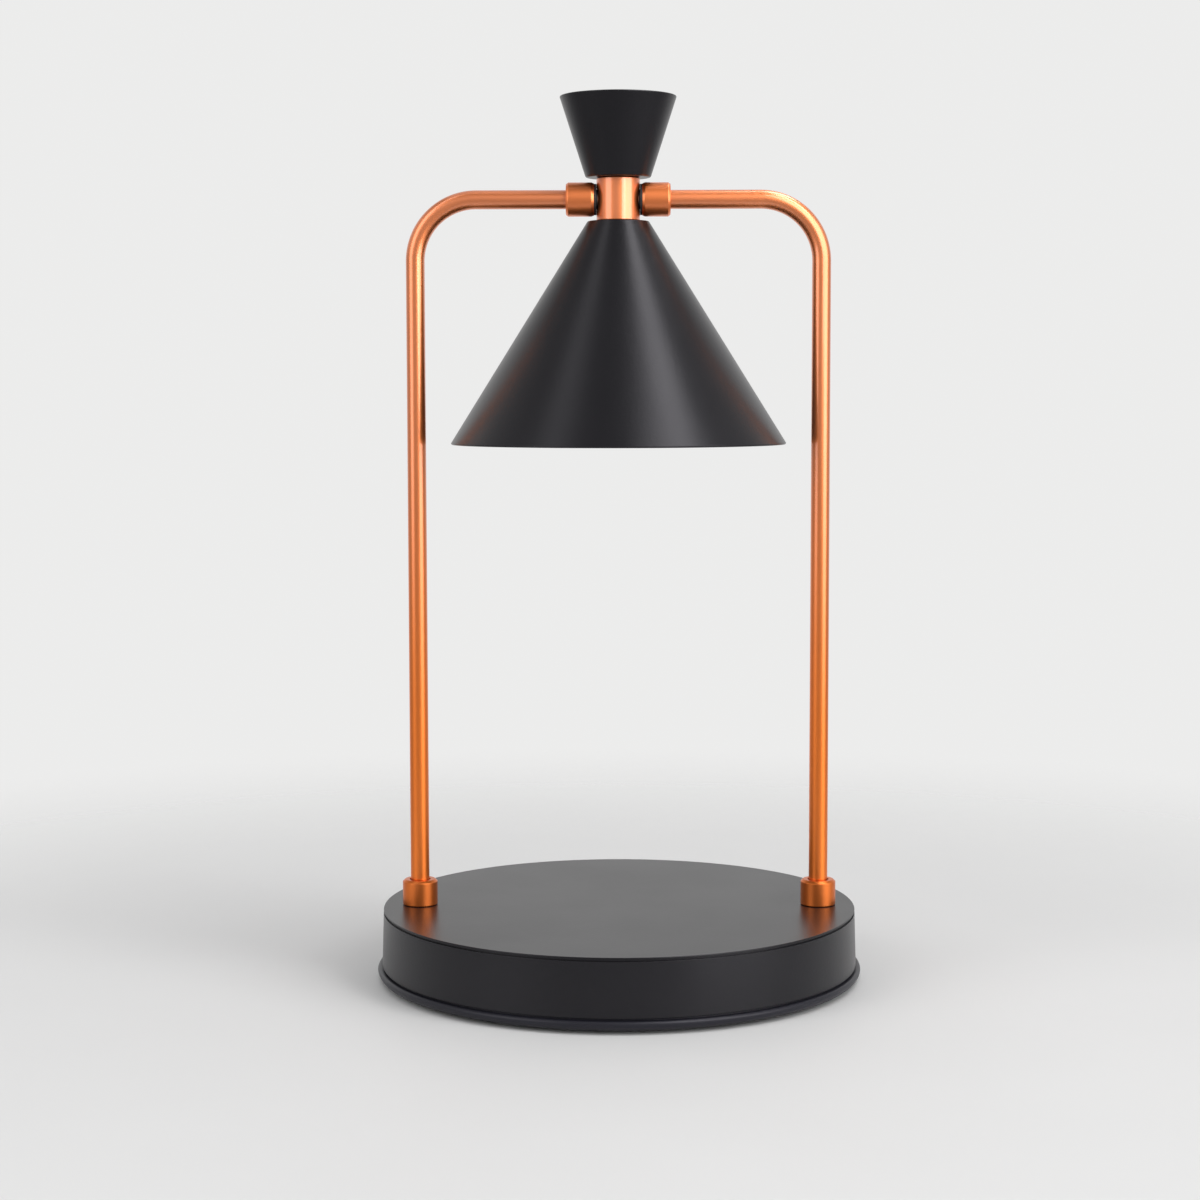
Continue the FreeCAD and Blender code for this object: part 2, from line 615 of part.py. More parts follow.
def pivot_screw(side):
    """Hollow screw whose flange holds the barrel from inside, notched where the stop pin travels."""
    inner_x = side * PIVOT_INNER_X
    flange_x = side * PIVOT_FLANGE_X
    tip_x = side * (COLLAR_FACE_X + PIVOT_ENGAGE)
    body = cross_rod(PIVOT_FLANGE_R, inner_x, flange_x).fuse(cross_rod(PIVOT_R, flange_x, tip_x))
    body = body.cut(cross_rod(PIVOT_BORE_R, inner_x, tip_x))
    pin_half = math.degrees(math.asin(STOP_PIN_R / STOP_PIN_ORBIT))
    swing = TILT_LIMIT + pin_half + STOP_CLEAR_DEG
    floor_r = STOP_PIN_ORBIT - STOP_PIN_R - 0.1
    sector = Part.makeCylinder(PIVOT_FLANGE_R + 1, PIVOT_FLANGE_T, V(0, 0, 0), V(0, 0, 1), 2 * swing)
    sector = sector.cut(Part.makeCylinder(floor_r, PIVOT_FLANGE_T))
    sector = sector.rotated(V(0, 0, 0), V(0, 0, 1), -swing)
    sector = sector.rotated(V(0, 0, 0), V(0, 1, 0), 90)
    return body.cut(sector.translated(V(min(inner_x, flange_x), 0, ARCH_Z)))


def friction_washers():
    """Washer between each collar and the barrel's spot face."""
    washers = []
    for side in SIDES.values():
        inner_x = side * (FLAT_X + PIVOT_RUN)
        outer_x = side * COLLAR_FACE_X
        washer = cross_rod(FRICTION_WASHER_R, inner_x, outer_x)
        washers.append(washer.cut(cross_rod(PIVOT_R, inner_x, outer_x)))
    return Part.makeCompound(washers)


def swivel_barrel():
    """Upright barrel, hollow for the wiring, that turns on the two pivot screws."""
    body = bevelled_rod(BARREL_R, BARREL_BOTTOM_Z, BARREL_TOP_Z, BARREL_EDGE)
    body = body.cut(rod(CAVITY_R, BARREL_BOTTOM_Z, CAVITY_TOP_Z))
    body = body.cut(rod(STEM_R, BARREL_BOTTOM_Z, STEM_TOP_Z))
    body = body.cut(rod(STUD_R, CAVITY_TOP_Z, BARREL_TOP_Z))
    body = body.cut(cross_rod(SEAT_POCKET_R, -SEAT_X, SEAT_X))
    body = body.cut(cross_rod(PIVOT_R + PIVOT_RUN, -BARREL_R, BARREL_R))
    for side in SIDES.values():
        body = body.cut(cross_rod(FRICTION_WASHER_R + 0.3, side * FLAT_X, side * (BARREL_R + 1)))
    return body.cut(stop_pin())


def stop_pin():
    """Pin pressed through the barrel's wall into the notch of the left pivot screw."""
    return cross_rod(STOP_PIN_R, -FLAT_X, -PIVOT_INNER_X - 0.1, 0, ARCH_Z - STOP_PIN_ORBIT)


def upper_cone():
    """Open spun cup on top of the head."""
    slope = math.atan2(CONE_TOP_R - CONE_BOTTOM_R, CONE_H)
    across = CONE_WALL / math.cos(slope)
    floor_z = BARREL_TOP_Z + CONE_WALL
    floor_r = CONE_BOTTOM_R + CONE_WALL * math.tan(slope) - across
    outer = turned([(0, BARREL_TOP_Z), (CONE_BOTTOM_R, BARREL_TOP_Z), (CONE_TOP_R, CONE_TOP_Z),
                    (0, CONE_TOP_Z)])
    outer = round_edges(outer, CONE_BOTTOM_R, BARREL_TOP_Z, CONE_EDGE_R)
    inner = turned([(0, floor_z), (floor_r, floor_z), (CONE_TOP_R - across, CONE_TOP_Z), (0, CONE_TOP_Z)])
    return outer.cut(inner).cut(rod(STUD_R, BARREL_TOP_Z, floor_z))


def cone_washer():
    """Plain washer on the cup's floor."""
    bottom = BARREL_TOP_Z + CONE_WALL
    return ring(CONE_WASHER_R, STUD_R, bottom, bottom + CONE_WASHER_T)


def cone_nut():
    """Domed cap nut that holds the cup down on its stud."""
    bottom = BARREL_TOP_Z + CONE_WALL + CONE_WASHER_T
    half = CONE_NUT_FLATS / 2
    body = hexagon(CONE_NUT_FLATS, bottom, bottom + CONE_NUT_T)
    corner_r = CONE_NUT_FLATS / math.sqrt(3)
    body = body.common(bevelled_rod(corner_r, bottom, bottom + CONE_NUT_T, (corner_r - half) * 0.6))
    dome_r = half * 0.92
    dome = Part.makeSphere(dome_r, V(0, 0, bottom + CONE_NUT_T), V(0, 0, 1), 0, 90, 360)
    return body.fuse(dome).cut(rod(STUD_R, bottom, bottom + CONE_NUT_BORE))


def upper_stud():
    """Threaded stud from the barrel's top up into the cap nut."""
    return rod(STUD_R, CAVITY_TOP_Z, BARREL_TOP_Z + STUD_ABOVE)


def shade_slope():
    """Angle of the shade's wall from the vertical."""
    return math.atan2(SHADE_RIM_R - SHADE_TOP_R, SHADE_H)


def shade():
    """Spun cone with a flat crown that the stem passes through and a rounded lip."""
    slope = shade_slope()
    across = SHADE_WALL / math.cos(slope)
    crown_r = SHADE_TOP_R + SHADE_CROWN_T * math.tan(slope) - across
    lip_r = SHADE_RIM_R - across / 2
    lip_z = SHADE_RIM_Z
    outline = [
        line((STEM_R + STEM_HOLE_CLEAR, SHADE_TOP_Z), (SHADE_TOP_R, SHADE_TOP_Z)),
        line((SHADE_TOP_R, SHADE_TOP_Z), (SHADE_RIM_R, lip_z + 0.5)),
        arc((SHADE_RIM_R, lip_z + 0.5), (SHADE_RIM_R - 0.15, lip_z + 0.15), (SHADE_RIM_R - 0.5, lip_z)),
        line((SHADE_RIM_R - 0.5, lip_z), (lip_r - across / 2, lip_z)),
        line((lip_r - across / 2, lip_z), (crown_r, CROWN_Z)),
        line((crown_r, CROWN_Z), (STEM_R + STEM_HOLE_CLEAR, CROWN_Z)),
        line((STEM_R + STEM_HOLE_CLEAR, CROWN_Z), (STEM_R + STEM_HOLE_CLEAR, SHADE_TOP_Z))]
    return turned_edges(outline)


def stem():
    """Hollow threaded stem that hangs the shade and the lampholder from the barrel."""
    return ring(STEM_R, STEM_BORE_R, STEM_END_Z, STEM_TOP_Z)


def stem_washer():
    """Toothed washer under the shade's crown."""
    return toothed_washer(STEM_WASHER_R, STEM_R, SHADE_NUT_TOP_Z, CROWN_Z)


def shade_nut():
    """Nut that clamps the shade's crown to the barrel."""
    return nut(STEM_NUT_FLATS, STEM_R, SHADE_NUT_Z, SHADE_NUT_TOP_Z)


def plate_nut():
    """Nut that clamps the holder plate up against the shade nut."""
    return nut(STEM_NUT_FLATS, STEM_R, PLATE_NUT_Z, HOLDER_TOP_Z)


def holder_plate():
    """Round steel plate on the stem, tapped for the lampholder's two screws."""
    plate = ring(HOLDER_PLATE_R, STEM_R, HOLDER_TOP_Z, SHADE_NUT_Z)
    for y in (-HOLDER_SCREW_Y, HOLDER_SCREW_Y):
        plate = plate.cut(rod(HOLDER_SCREW_R, HOLDER_TOP_Z, SHADE_NUT_Z, 0, y))
    return plate


# ---------------------------------------------------------------- lampholder
def holder_body(contacts):
    """Upper porcelain half: a well for the nut, the pin heads' channels and the contacts' pockets."""
    corner_x = STEM_NUT_FLATS / math.sqrt(3) + WELL_CLEAR
    half_y = STEM_NUT_FLATS / 2 + WELL_CLEAR
    body = rod(HOLDER_R, FACE_TOP_Z, HOLDER_TOP_Z)
    body = body.cut(block(-corner_x, corner_x, -half_y, half_y, WELL_Z, HOLDER_TOP_Z))
    head_r = PIN_HEAD_R + SLOT_CLEAR
    for channel in half_turn_pair(arc_slot(PIN_ORBIT, head_r, -TWIST, 0, FACE_TOP_Z, CHANNEL_TOP_Z)):
        body = body.cut(channel)
    for y in (-HOLDER_SCREW_Y, HOLDER_SCREW_Y):
        body = body.cut(rod(HOLDER_SCREW_R, FACE_TOP_Z, HOLDER_TOP_Z, 0, y))
    for y in (-CORE_OFFSET, CORE_OFFSET):
        body = body.cut(rod(CORE_R + 0.1, CHANNEL_TOP_Z, WELL_Z, 0, y))
    return body.cut(contacts)


def holder_face():
    """Lower porcelain half: keyhole slots that let a pin's head in and lock it after the twist."""
    face = turned([(0, HOLDER_Z), (HOLDER_R - HOLDER_EDGE, HOLDER_Z), (HOLDER_R, HOLDER_Z + HOLDER_EDGE),
                   (HOLDER_R, FACE_TOP_Z), (0, FACE_TOP_Z)])
    slot = arc_slot(PIN_ORBIT, PIN_NECK_R + SLOT_CLEAR, -TWIST, 0, HOLDER_Z, FACE_TOP_Z)
    entry = rod(PIN_HEAD_R + SLOT_CLEAR, HOLDER_Z, FACE_TOP_Z, *polar(PIN_ORBIT, -TWIST))
    for cut_out in half_turn_pair(slot.fuse(entry)):
        face = face.cut(cut_out)
    for y in (-HOLDER_SCREW_Y, HOLDER_SCREW_Y):
        face = face.cut(rod(HOLDER_SCREW_R, HOLDER_Z, FACE_TOP_Z, 0, y))
        face = face.cut(rod(HOLDER_SCREW_HEAD_R + 0.2, HOLDER_Z, HOLDER_Z + HOLDER_SCREW_HEAD_T, 0, y))
    return face


def holder_screws():
    """Two long screws that hold both porcelain halves up to the plate."""
    screws = []
    for y in (-HOLDER_SCREW_Y, HOLDER_SCREW_Y):
        seat_z = HOLDER_Z + HOLDER_SCREW_HEAD_T
        head = rod(HOLDER_SCREW_HEAD_R, HOLDER_Z, seat_z, 0, y)
        screw = head.fuse(rod(HOLDER_SCREW_R, seat_z, SHADE_NUT_Z, 0, y))
        screws.append(screw.cut(cross_recess(0, y, HOLDER_Z, 0.9, 0.9)))
    return Part.makeCompound(screws)


def holder_contacts():
    """Brass strips over the locked pins, each with its core's end on top."""
    strip = block(-CONTACT_BACK, CONTACT_REACH, CORE_OFFSET - CONTACT_W / 2, CORE_OFFSET + CONTACT_W / 2,
                  CHANNEL_TOP_Z, CHANNEL_TOP_Z + CONTACT_T)
    return Part.makeCompound(half_turn_pair(strip))


def head_leads():
    """The lead's two cores from the left pivot, down the stem and on to the contacts."""
    turn_r = PIVOT_INNER_X - 0.1
    cores = []
    for y in (-CORE_OFFSET, CORE_OFFSET):
        corners = [V(-PIVOT_INNER_X, y, ARCH_Z), V(0, y, ARCH_Z), V(0, y, CHANNEL_TOP_Z + CONTACT_T)]
        cores.append(swept(route(corners, [turn_r]), CORE_R))
    return Part.makeCompound(cores)


# ---------------------------------------------------------------- bulb
def bulb_cap():
    """Porcelain cap of the bulb: a round body with two flats, holding the pins and the burner."""
    body = turned([(0, BULB_CAP_Z), (BULB_NECK_R, BULB_CAP_Z), (BULB_NECK_R, BULB_CAP_Z + 3),
                   (BULB_CAP_R, BULB_CAP_Z + 6), (BULB_CAP_R, BULB_TOP_Z - 0.8),
                   (BULB_CAP_R - 0.8, BULB_TOP_Z), (0, BULB_TOP_Z)])
    body = body.common(block(-BULB_CAP_R, BULB_CAP_R, -BULB_CAP_FLAT, BULB_CAP_FLAT,
                             BULB_CAP_Z, BULB_TOP_Z).fuse(rod(BULB_NECK_R, BULB_CAP_Z, BULB_TOP_Z)))
    for x in (-PIN_ORBIT, PIN_ORBIT):
        body = body.cut(rod(PIN_NECK_R, BULB_TOP_Z - PIN_ROOT, BULB_TOP_Z, x))
    return body.cut(rod(CAPSULE_R, BULB_CAP_Z, BULB_CAP_Z + CAPSULE_SEAT))


def bulb_pins():
    """Two headed contact pins."""
    pins = []
    for x in (-PIN_ORBIT, PIN_ORBIT):
        neck = rod(PIN_NECK_R, BULB_TOP_Z - PIN_ROOT, PIN_HEAD_Z, x)
        pins.append(neck.fuse(bevelled_rod(PIN_HEAD_R, PIN_HEAD_Z, PIN_TOP_Z, 0.4, x)))
    return Part.makeCompound(pins)


def reflector_rings(clearance):
    """(radius, height) points down a paraboloid from the cap to the rim, one for each ring of facets."""
    reach = BULB_R ** 2 - BULB_NECK_R ** 2
    points = []
    for step in range(REFLECTOR_RINGS + 1):
        radius = BULB_NECK_R + (BULB_R - BULB_NECK_R) * step / REFLECTOR_RINGS
        share = (radius ** 2 - BULB_NECK_R ** 2) / reach
        points.append((radius - clearance, BULB_CAP_Z - share * (BULB_CAP_Z - RIM_TOP_Z)))
    return points


def bulb_reflector():
    """Glass reflector that flares ring by ring from the cap to a straight rim with a lip for the lens."""
    bore_r = BULB_R - REFLECTOR_WALL
    lip_r = bore_r - RIM_LIP
    seat_z = BULB_FRONT_Z + RIM_LIP
    rim = [(BULB_R, BULB_FRONT_Z), (lip_r, BULB_FRONT_Z), (lip_r, seat_z), (bore_r, seat_z)]
    return turned(reflector_rings(0) + rim + reflector_rings(REFLECTOR_WALL)[::-1])


def bulb_lens():
    """Flat front glass held inside the reflector's rim."""
    return rod(BULB_R - REFLECTOR_WALL, BULB_FRONT_Z + RIM_LIP, BULB_FRONT_Z + RIM_LIP + LENS_T)


def bulb_capsule():
    """Halogen burner seated in the cap, with a round tip."""
    tip_z = BULB_CAP_Z + CAPSULE_SEAT - CAPSULE_LEN
    tube = rod(CAPSULE_R, tip_z, BULB_CAP_Z + CAPSULE_SEAT)
    return tube.fuse(Part.makeSphere(CAPSULE_R, V(0, 0, tip_z), V(0, 0, 1), -90, 0, 360))


# ---------------------------------------------------------------- the whole lamp
def lamp():
    """Every sub-part by its node's name."""
    shell = base_shell()
    contacts = holder_contacts()
    parts = {
        "base_shell": shell,
        "base_plate": base_plate(),
        "rubber_feet": rubber_feet(),
        "base_screws": base_screws(),
        "counterweight": counterweight(),
        "terminal_block": terminal_block(),
        "terminal_inserts": terminal_inserts(),
        "terminal_screws": terminal_screws(),
        "cord_inlet": cord_inlet(shell),
        "post_washers": post_washers(),
        "post_nuts": post_nuts(),
        "lead_bush": lead_bush(),
        "post_lead": post_lead(),
        "friction_washers": friction_washers(),
        "swivel_barrel": swivel_barrel(),
        "stop_pin": stop_pin(),
        "upper_stud": upper_stud(),
        "upper_cone": upper_cone(),
        "cone_washer": cone_washer(),
        "cone_nut": cone_nut(),
        "stem": stem(),
        "shade": shade(),
        "stem_washer": stem_washer(),
        "shade_nut": shade_nut(),
        "holder_plate": holder_plate(),
        "plate_nut": plate_nut(),
        "holder_body": holder_body(contacts),
        "holder_face": holder_face(),
        "holder_screws": holder_screws(),
        "holder_contacts": contacts,
        "head_leads": head_leads(),
        "bulb_cap": bulb_cap(),
        "bulb_pins": bulb_pins(),
        "bulb_reflector": bulb_reflector(),
        "bulb_lens": bulb_lens(),
        "bulb_capsule": bulb_capsule(),
    }
    for name, side in SIDES.items():
        parts["post_" + name] = post(side)
        parts["base_collar_" + name] = base_collar(side)
        parts["head_collar_" + name] = head_collar(side)
        parts["pivot_screw_" + name] = pivot_screw(side)
    return parts


os.makedirs("parts", exist_ok=True)
for node, shape in lamp().items():
    shape.exportStep("parts/" + node + ".step")
    print(node, "solids", len(shape.Solids), "valid", shape.isValid(), "mm3", round(shape.Volume, 1))
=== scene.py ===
# %% [markdown]
# # A candle warmer lamp, dressed around its CAD frame
#
# The lamp stands on a weighted round base. Two copper tubes rise from it, bend in over the candle's
# place and carry a tilting head: a black cone shade with a reflector bulb inside, an open black cup on
# top, and a bright barrel between them. The imported CAD model gives every size and every joint, so it is
# loaded first and nothing in it is moved.

# %% Load the frame
import json
import math

import bpy
from mathutils import Matrix, Vector


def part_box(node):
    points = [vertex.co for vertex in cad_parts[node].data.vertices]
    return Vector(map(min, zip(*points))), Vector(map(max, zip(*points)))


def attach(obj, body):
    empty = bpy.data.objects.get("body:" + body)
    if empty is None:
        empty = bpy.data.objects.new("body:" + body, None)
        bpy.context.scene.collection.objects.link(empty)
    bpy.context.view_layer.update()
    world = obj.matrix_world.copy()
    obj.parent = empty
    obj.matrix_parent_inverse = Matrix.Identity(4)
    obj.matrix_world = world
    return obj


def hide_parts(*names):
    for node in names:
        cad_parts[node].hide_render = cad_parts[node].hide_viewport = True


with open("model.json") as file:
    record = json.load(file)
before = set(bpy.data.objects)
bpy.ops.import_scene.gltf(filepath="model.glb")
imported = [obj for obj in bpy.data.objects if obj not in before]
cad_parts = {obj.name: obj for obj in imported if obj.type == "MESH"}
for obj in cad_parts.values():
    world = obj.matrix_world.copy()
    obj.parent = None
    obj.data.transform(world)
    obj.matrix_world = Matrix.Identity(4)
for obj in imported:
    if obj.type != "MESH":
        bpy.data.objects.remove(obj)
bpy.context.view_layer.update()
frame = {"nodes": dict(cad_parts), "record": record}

# %% [markdown]
# The camera looks slightly down at the lamp from the front. It is placed before anything else, because
# everything afterwards is judged through it. A long lens keeps the lamp's two posts almost parallel.

# %% Camera
CAMERA_PLACE = (0.00163, -0.8290, 0.2004)
LENS_MM = 73.5
SENSOR_MM = 36.0
TURNED_LEFT = 0.55
LOOKING_DOWN = 4.93
LEANING = -0.10

camera_data = bpy.data.cameras.new("viewer")
camera_data.lens = LENS_MM
camera_data.sensor_width = SENSOR_MM
camera = bpy.data.objects.new("viewer", camera_data)
bpy.context.scene.collection.objects.link(camera)
turn = Matrix.Rotation(math.radians(TURNED_LEFT), 4, "Z")
pitch = Matrix.Rotation(math.radians(90 - LOOKING_DOWN), 4, "X")
roll = Matrix.Rotation(math.radians(LEANING), 4, "Z")
camera.matrix_world = Matrix.Translation(CAMERA_PLACE) @ turn @ pitch @ roll
bpy.context.scene.camera = camera
bpy.context.scene.view_settings.view_transform = "Standard"
print("camera at", [round(v, 4) for v in camera.location])

# %% [markdown]
# Shader maths reads best as plain expressions. A Wire wraps one output socket and overloads the
# operators that this lamp needs, so that 1 - mask adds the Math node by itself.

# %% Shader expressions
class Wire:
    """An output socket that grows Math nodes when it is used in an expression."""

    def __init__(self, sheet, socket):
        self.sheet = sheet
        self.socket = socket

    def output(self, name):
        """Another output of the same node."""
        return Wire(self.sheet, self.socket.node.outputs[name])

    def __add__(self, other):
        return self.sheet.maths("ADD", self, other)

    def __sub__(self, other):
        return self.sheet.maths("SUBTRACT", self, other)

    def __rsub__(self, other):
        return self.sheet.maths("SUBTRACT", other, self)

    def __mul__(self, other):
        return self.sheet.maths("MULTIPLY", self, other)

    def __pow__(self, other):
        return self.sheet.maths("POWER", self, other)

    __radd__ = __add__
    __rmul__ = __mul__


print("expressions ready")

# %% [markdown]
# A Sheet is one node tree. All its nodes come from one method, which sets a node's own settings first,
# because they decide which sockets it has, and then gives each socket its value or its link. The other
# methods only name the few nodes that nearly every finish uses.

# %% Node sheets
class Sheet:
    """A node tree that is filled by expressions."""

    def __init__(self, tree):
        self.tree = tree
        tree.nodes.clear()

    def node(self, kind, settings=None, sockets=None, out=0):
        """Add a node: its settings first, then the values or links of its sockets."""
        made = self.tree.nodes.new(kind)
        for name, value in (settings or {}).items():
            setattr(made, name, value)
        for name, value in (sockets or {}).items():
            if isinstance(value, Wire):
                self.tree.links.new(value.socket, made.inputs[name])
            else:
                made.inputs[name].default_value = value
        return Wire(self, made.outputs[out]) if made.outputs else None

    def maths(self, operation, *values):
        """A Math node on wires or numbers."""
        return self.node("ShaderNodeMath", {"operation": operation}, dict(enumerate(values)))

    def blend(self, factor, first, second):
        """Mix two colours."""
        settings = {"data_type": "RGBA"}
        return self.node("ShaderNodeMix", settings, {0: factor, 6: first, 7: second}, out=2)

    def steps(self, value, low, high):
        """Rise smoothly from 0 at low to 1 at high."""
        settings = {"interpolation_type": "SMOOTHSTEP"}
        return self.node("ShaderNodeMapRange", settings, {0: value, 1: low, 2: high, 3: 0.0, 4: 1.0})

    def point(self):
        """The point on the piece, in metres."""
        return self.node("ShaderNodeTexCoord", out="Object")

    def axes(self, vector):
        """The x, y and z of a vector."""
        parts = self.node("ShaderNodeSeparateXYZ", None, {0: vector})
        return [parts.output(axis) for axis in "XYZ"]

    def vector(self, x, y, z):
        """A vector from its x, y and z."""
        return self.node("ShaderNodeCombineXYZ", None, {0: x, 1: y, 2: z})

    def noise(self, point, scale, detail=2.0):
        """Soft noise whose blotches are about 1 / scale metres across."""
        return self.node("ShaderNodeTexNoise", None, {"Vector": point, "Scale": scale, "Detail": detail})

    def bump(self, height, distance):
        """Normals of a surface whose height runs from 0 to distance metres."""
        return self.node("ShaderNodeBump", None, {"Height": height, "Distance": distance, "Strength": 1.0})


print("node sheets ready")

# %% [markdown]
# A finish is one material. What is the same all over a surface sits on the shader's own sockets. What
# varies comes from a paint, a function that draws its nodes on the sheet. The viewport colour is a plain
# grey, which no render shows.

# %% A finish
VIEWPORT_GREY = (0.5, 0.5, 0.5, 1.0)
FINISHES = {}


def finish(name, paint, **constants):
    """A material: constants go straight on to the Principled shader, paint(sheet) gives what varies."""
    material = bpy.data.materials.new(name)
    material.use_nodes = True
    material.diffuse_color = VIEWPORT_GREY
    sheet = Sheet(material.node_tree)
    sockets = {socket.replace("_", " "): value for socket, value in constants.items()}
    sockets.update(paint(sheet))
    shader = sheet.node("ShaderNodeBsdfPrincipled", None, sockets)
    sheet.node("ShaderNodeOutputMaterial", None, {"Surface": shader})
    FINISHES[name] = material
    return material


print("finishes can be mixed")

# %% [markdown]
# A plain pale studio. The world is a pale backdrop for the camera and for what shows through glass.
# Metal sees the same pale backdrop behind the lamp and a dimmer room in front of it, as in a real
# studio, where only the softboxes are bright on the camera's side. The room fades from one tone to the
# next by height and by depth, both given as parts of the ray's direction.

# %% Studio room
PALE = (0.84, 0.84, 0.835, 1.0)
LOW_FRONT = (0.42, 0.42, 0.425, 1.0)
HIGH_FRONT = (0.60, 0.60, 0.605, 1.0)
DARK = (0.16, 0.16, 0.165, 1.0)
AMBIENT = (0.42, 0.42, 0.425, 1.0)
LOW_TO_HIGH = (0.05, 0.30)
FRONT_TO_CEILING = (0.55, 0.95)
BACK_TO_CEILING = (0.45, 0.9)
FRONT_TO_BACK = (0.25, 0.8)

world = bpy.data.worlds.new("studio")
bpy.context.scene.world = world
world.use_nodes = True
room = Sheet(world.node_tree)
depth, height = room.axes(room.node("ShaderNodeTexCoord", out="Generated"))[1:]
front_wall = room.blend(room.steps(height, *LOW_TO_HIGH), LOW_FRONT, HIGH_FRONT)
front_wall = room.blend(room.steps(height, *FRONT_TO_CEILING), front_wall, DARK)
back_wall = room.blend(room.steps(height, *BACK_TO_CEILING), PALE, DARK)
metal_sees = room.blend(room.steps(depth, *FRONT_TO_BACK), front_wall, back_wall)
rays = room.node("ShaderNodeLightPath")
colour = room.blend(rays.output("Is Glossy Ray"), AMBIENT, metal_sees)
seen = room.maths("MAXIMUM", rays.output("Is Camera Ray"), rays.output("Is Transmission Ray"))
colour = room.blend(seen, colour, PALE)
backdrop = room.node("ShaderNodeBackground", None, {"Color": colour, "Strength": 1.0})
room.node("ShaderNodeOutputWorld", None, {"Surface": backdrop})
print("backdrop", PALE[:3])

# %% [markdown]
# Round metal shows its lights as stripes, so each softbox is placed for the stripe that it draws. Two
# tall strips draw the long highlights of the tubes and the barrel, the right one wide and far away. Two
# small boxes above the head sheen the shade, and a broad one overhead makes the soft shadow. The last
# two are small cards near the right arm, one in front of it and one above. They only shine in gloss, so
# they leave no pool of light on the floor. A row gives the place, width and height in metres, the
# brightness, and the spot of the lamp that the box faces.

# %% Softboxes
LAMP_TOP = (0.0, 0.0, 0.30)
LAMP_HEAD = (0.0, 0.0, 0.26)
LAMP_MIDDLE = (0.0, 0.0, 0.16)
RIGHT_ARM = (0.06, 0.0, 0.26)
WATTS_PER_AREA = 4
SOFTBOXES = [
    ("strip_left", (-0.91, -0.69, 0.55), 0.70, 1.1, 1.25, LAMP_TOP),
    ("strip_right", (1.92, -1.34, 0.80), 1.92, 2.2, 2.3, LAMP_TOP),
    ("high_left", (-0.435, -0.246, 0.863), 0.18, 0.40, 1.3, LAMP_HEAD),
    ("high_right", (0.406, -0.249, 0.855), 0.23, 0.42, 4.8, LAMP_HEAD),
    ("overhead", (0.0, 0.20, 1.35), 1.2, 1.3, 0.38, LAMP_MIDDLE),
]
CARDS = [
    ("near_right", (0.22, -0.41, 0.47), 0.17, 0.54, 2.6, LAMP_HEAD),
    ("crest_right", (0.22, 0.13, 0.76), 0.20, 0.30, 4.0, RIGHT_ARM),
]


def softbox(name, place, width, height, brightness, aim):
    """A rectangular softbox that faces a point and isn't seen by the camera."""
    light = bpy.data.lights.new(name, "AREA")
    light.shape = "RECTANGLE"
    light.size = width
    light.size_y = height
    light.energy = brightness * width * height * WATTS_PER_AREA
    box = bpy.data.objects.new(name, light)
    bpy.context.scene.collection.objects.link(box)
    box.location = place
    box.rotation_euler = (Vector(aim) - Vector(place)).to_track_quat("-Z", "Y").to_euler()
    box.visible_camera = False
    return box


for row in SOFTBOXES:
    softbox(*row)
for row in CARDS:
    softbox(*row).visible_diffuse = False
print("softboxes", len(SOFTBOXES), "cards", len(CARDS))

# %% [markdown]
# The floor is one pale card. It keeps the lamp's shadow and fades out to nothing further away, so that
# it meets the backdrop without a horizon.

# %% Floor
FLOOR_HALF = 1.5
FLOOR_FADE = (0.16, 0.54)
FLOOR_TINTS = (0.78, 0.78, 0.775, 1.0), (0.82, 0.82, 0.815, 1.0)


def flat_square(name, half):
    """A flat square made of one face."""
    mesh = bpy.data.meshes.new(name)
    corners = [(-half, -half, 0), (half, -half, 0), (half, half, 0), (-half, half, 0)]
    mesh.from_pydata(corners, [], [(0, 1, 2, 3)])
    card = bpy.data.objects.new(name, mesh)
    bpy.context.scene.collection.objects.link(card)
    return card


def floor_paint(sheet):
    """Pale card that thins out with its distance from the lamp."""
    point = sheet.point()
    x, y = sheet.axes(point)[:2]
    cloud = sheet.noise(point, 9.0, 3.0)
    reach = (x * x + y * y) ** 0.5
    return {"Base Color": sheet.blend(cloud, *FLOOR_TINTS),
            "Roughness": 0.55 + 0.1 * cloud,
            "Alpha": 1 - sheet.steps(reach, *FLOOR_FADE)}


floor = flat_square("floor", FLOOR_HALF)
floor.data.materials.append(finish("floor_card", floor_paint))
print("floor laid")

# %% [markdown]
# The lamp's visible parts are nearly all turned, spun or bent on a machine, so each starts as an
# outline. A real edge is never perfectly sharp, and its thin highlight is what the eye reads as metal,
# so every corner of an outline may have a small edge radius of its own. The corner is then replaced by
# an arc that touches both of its sides.

# %% Rounded outlines
EDGE_STEP = math.radians(11)


def softened(corners):
    """Outline points from corners (radius, height, edge radius in mm), each rounded by its edge radius."""
    points = []
    for index, corner in enumerate(corners):
        here = Vector(corner[:2])
        edge = corner[2] if len(corner) > 2 else 0
        if not edge:
            points.append(here)
            continue
        back = (Vector(corners[index - 1][:2]) - here).normalized()
        ahead = (Vector(corners[(index + 1) % len(corners)][:2]) - here).normalized()
        half = back.angle(ahead) / 2
        sweep = math.pi - 2 * half
        centre = here + (back + ahead).normalized() * edge / math.sin(half)
        first = here + back * edge / math.tan(half) - centre
        last = here + ahead * edge / math.tan(half) - centre
        count = max(2, round(sweep / EDGE_STEP))
        for step in range(count + 1):
            share = step / count
            weight_first = math.sin((1 - share) * sweep) / math.sin(sweep)
            weight_last = math.sin(share * sweep) / math.sin(sweep)
            points.append(centre + first * weight_first + last * weight_last)
    return points


def rod(radius, low, high):
    """Outline of a plain round rod."""
    return [(0, low), (radius, low), (radius, high), (0, high)]


print("an edge takes one step per", round(math.degrees(EDGE_STEP)), "degrees")

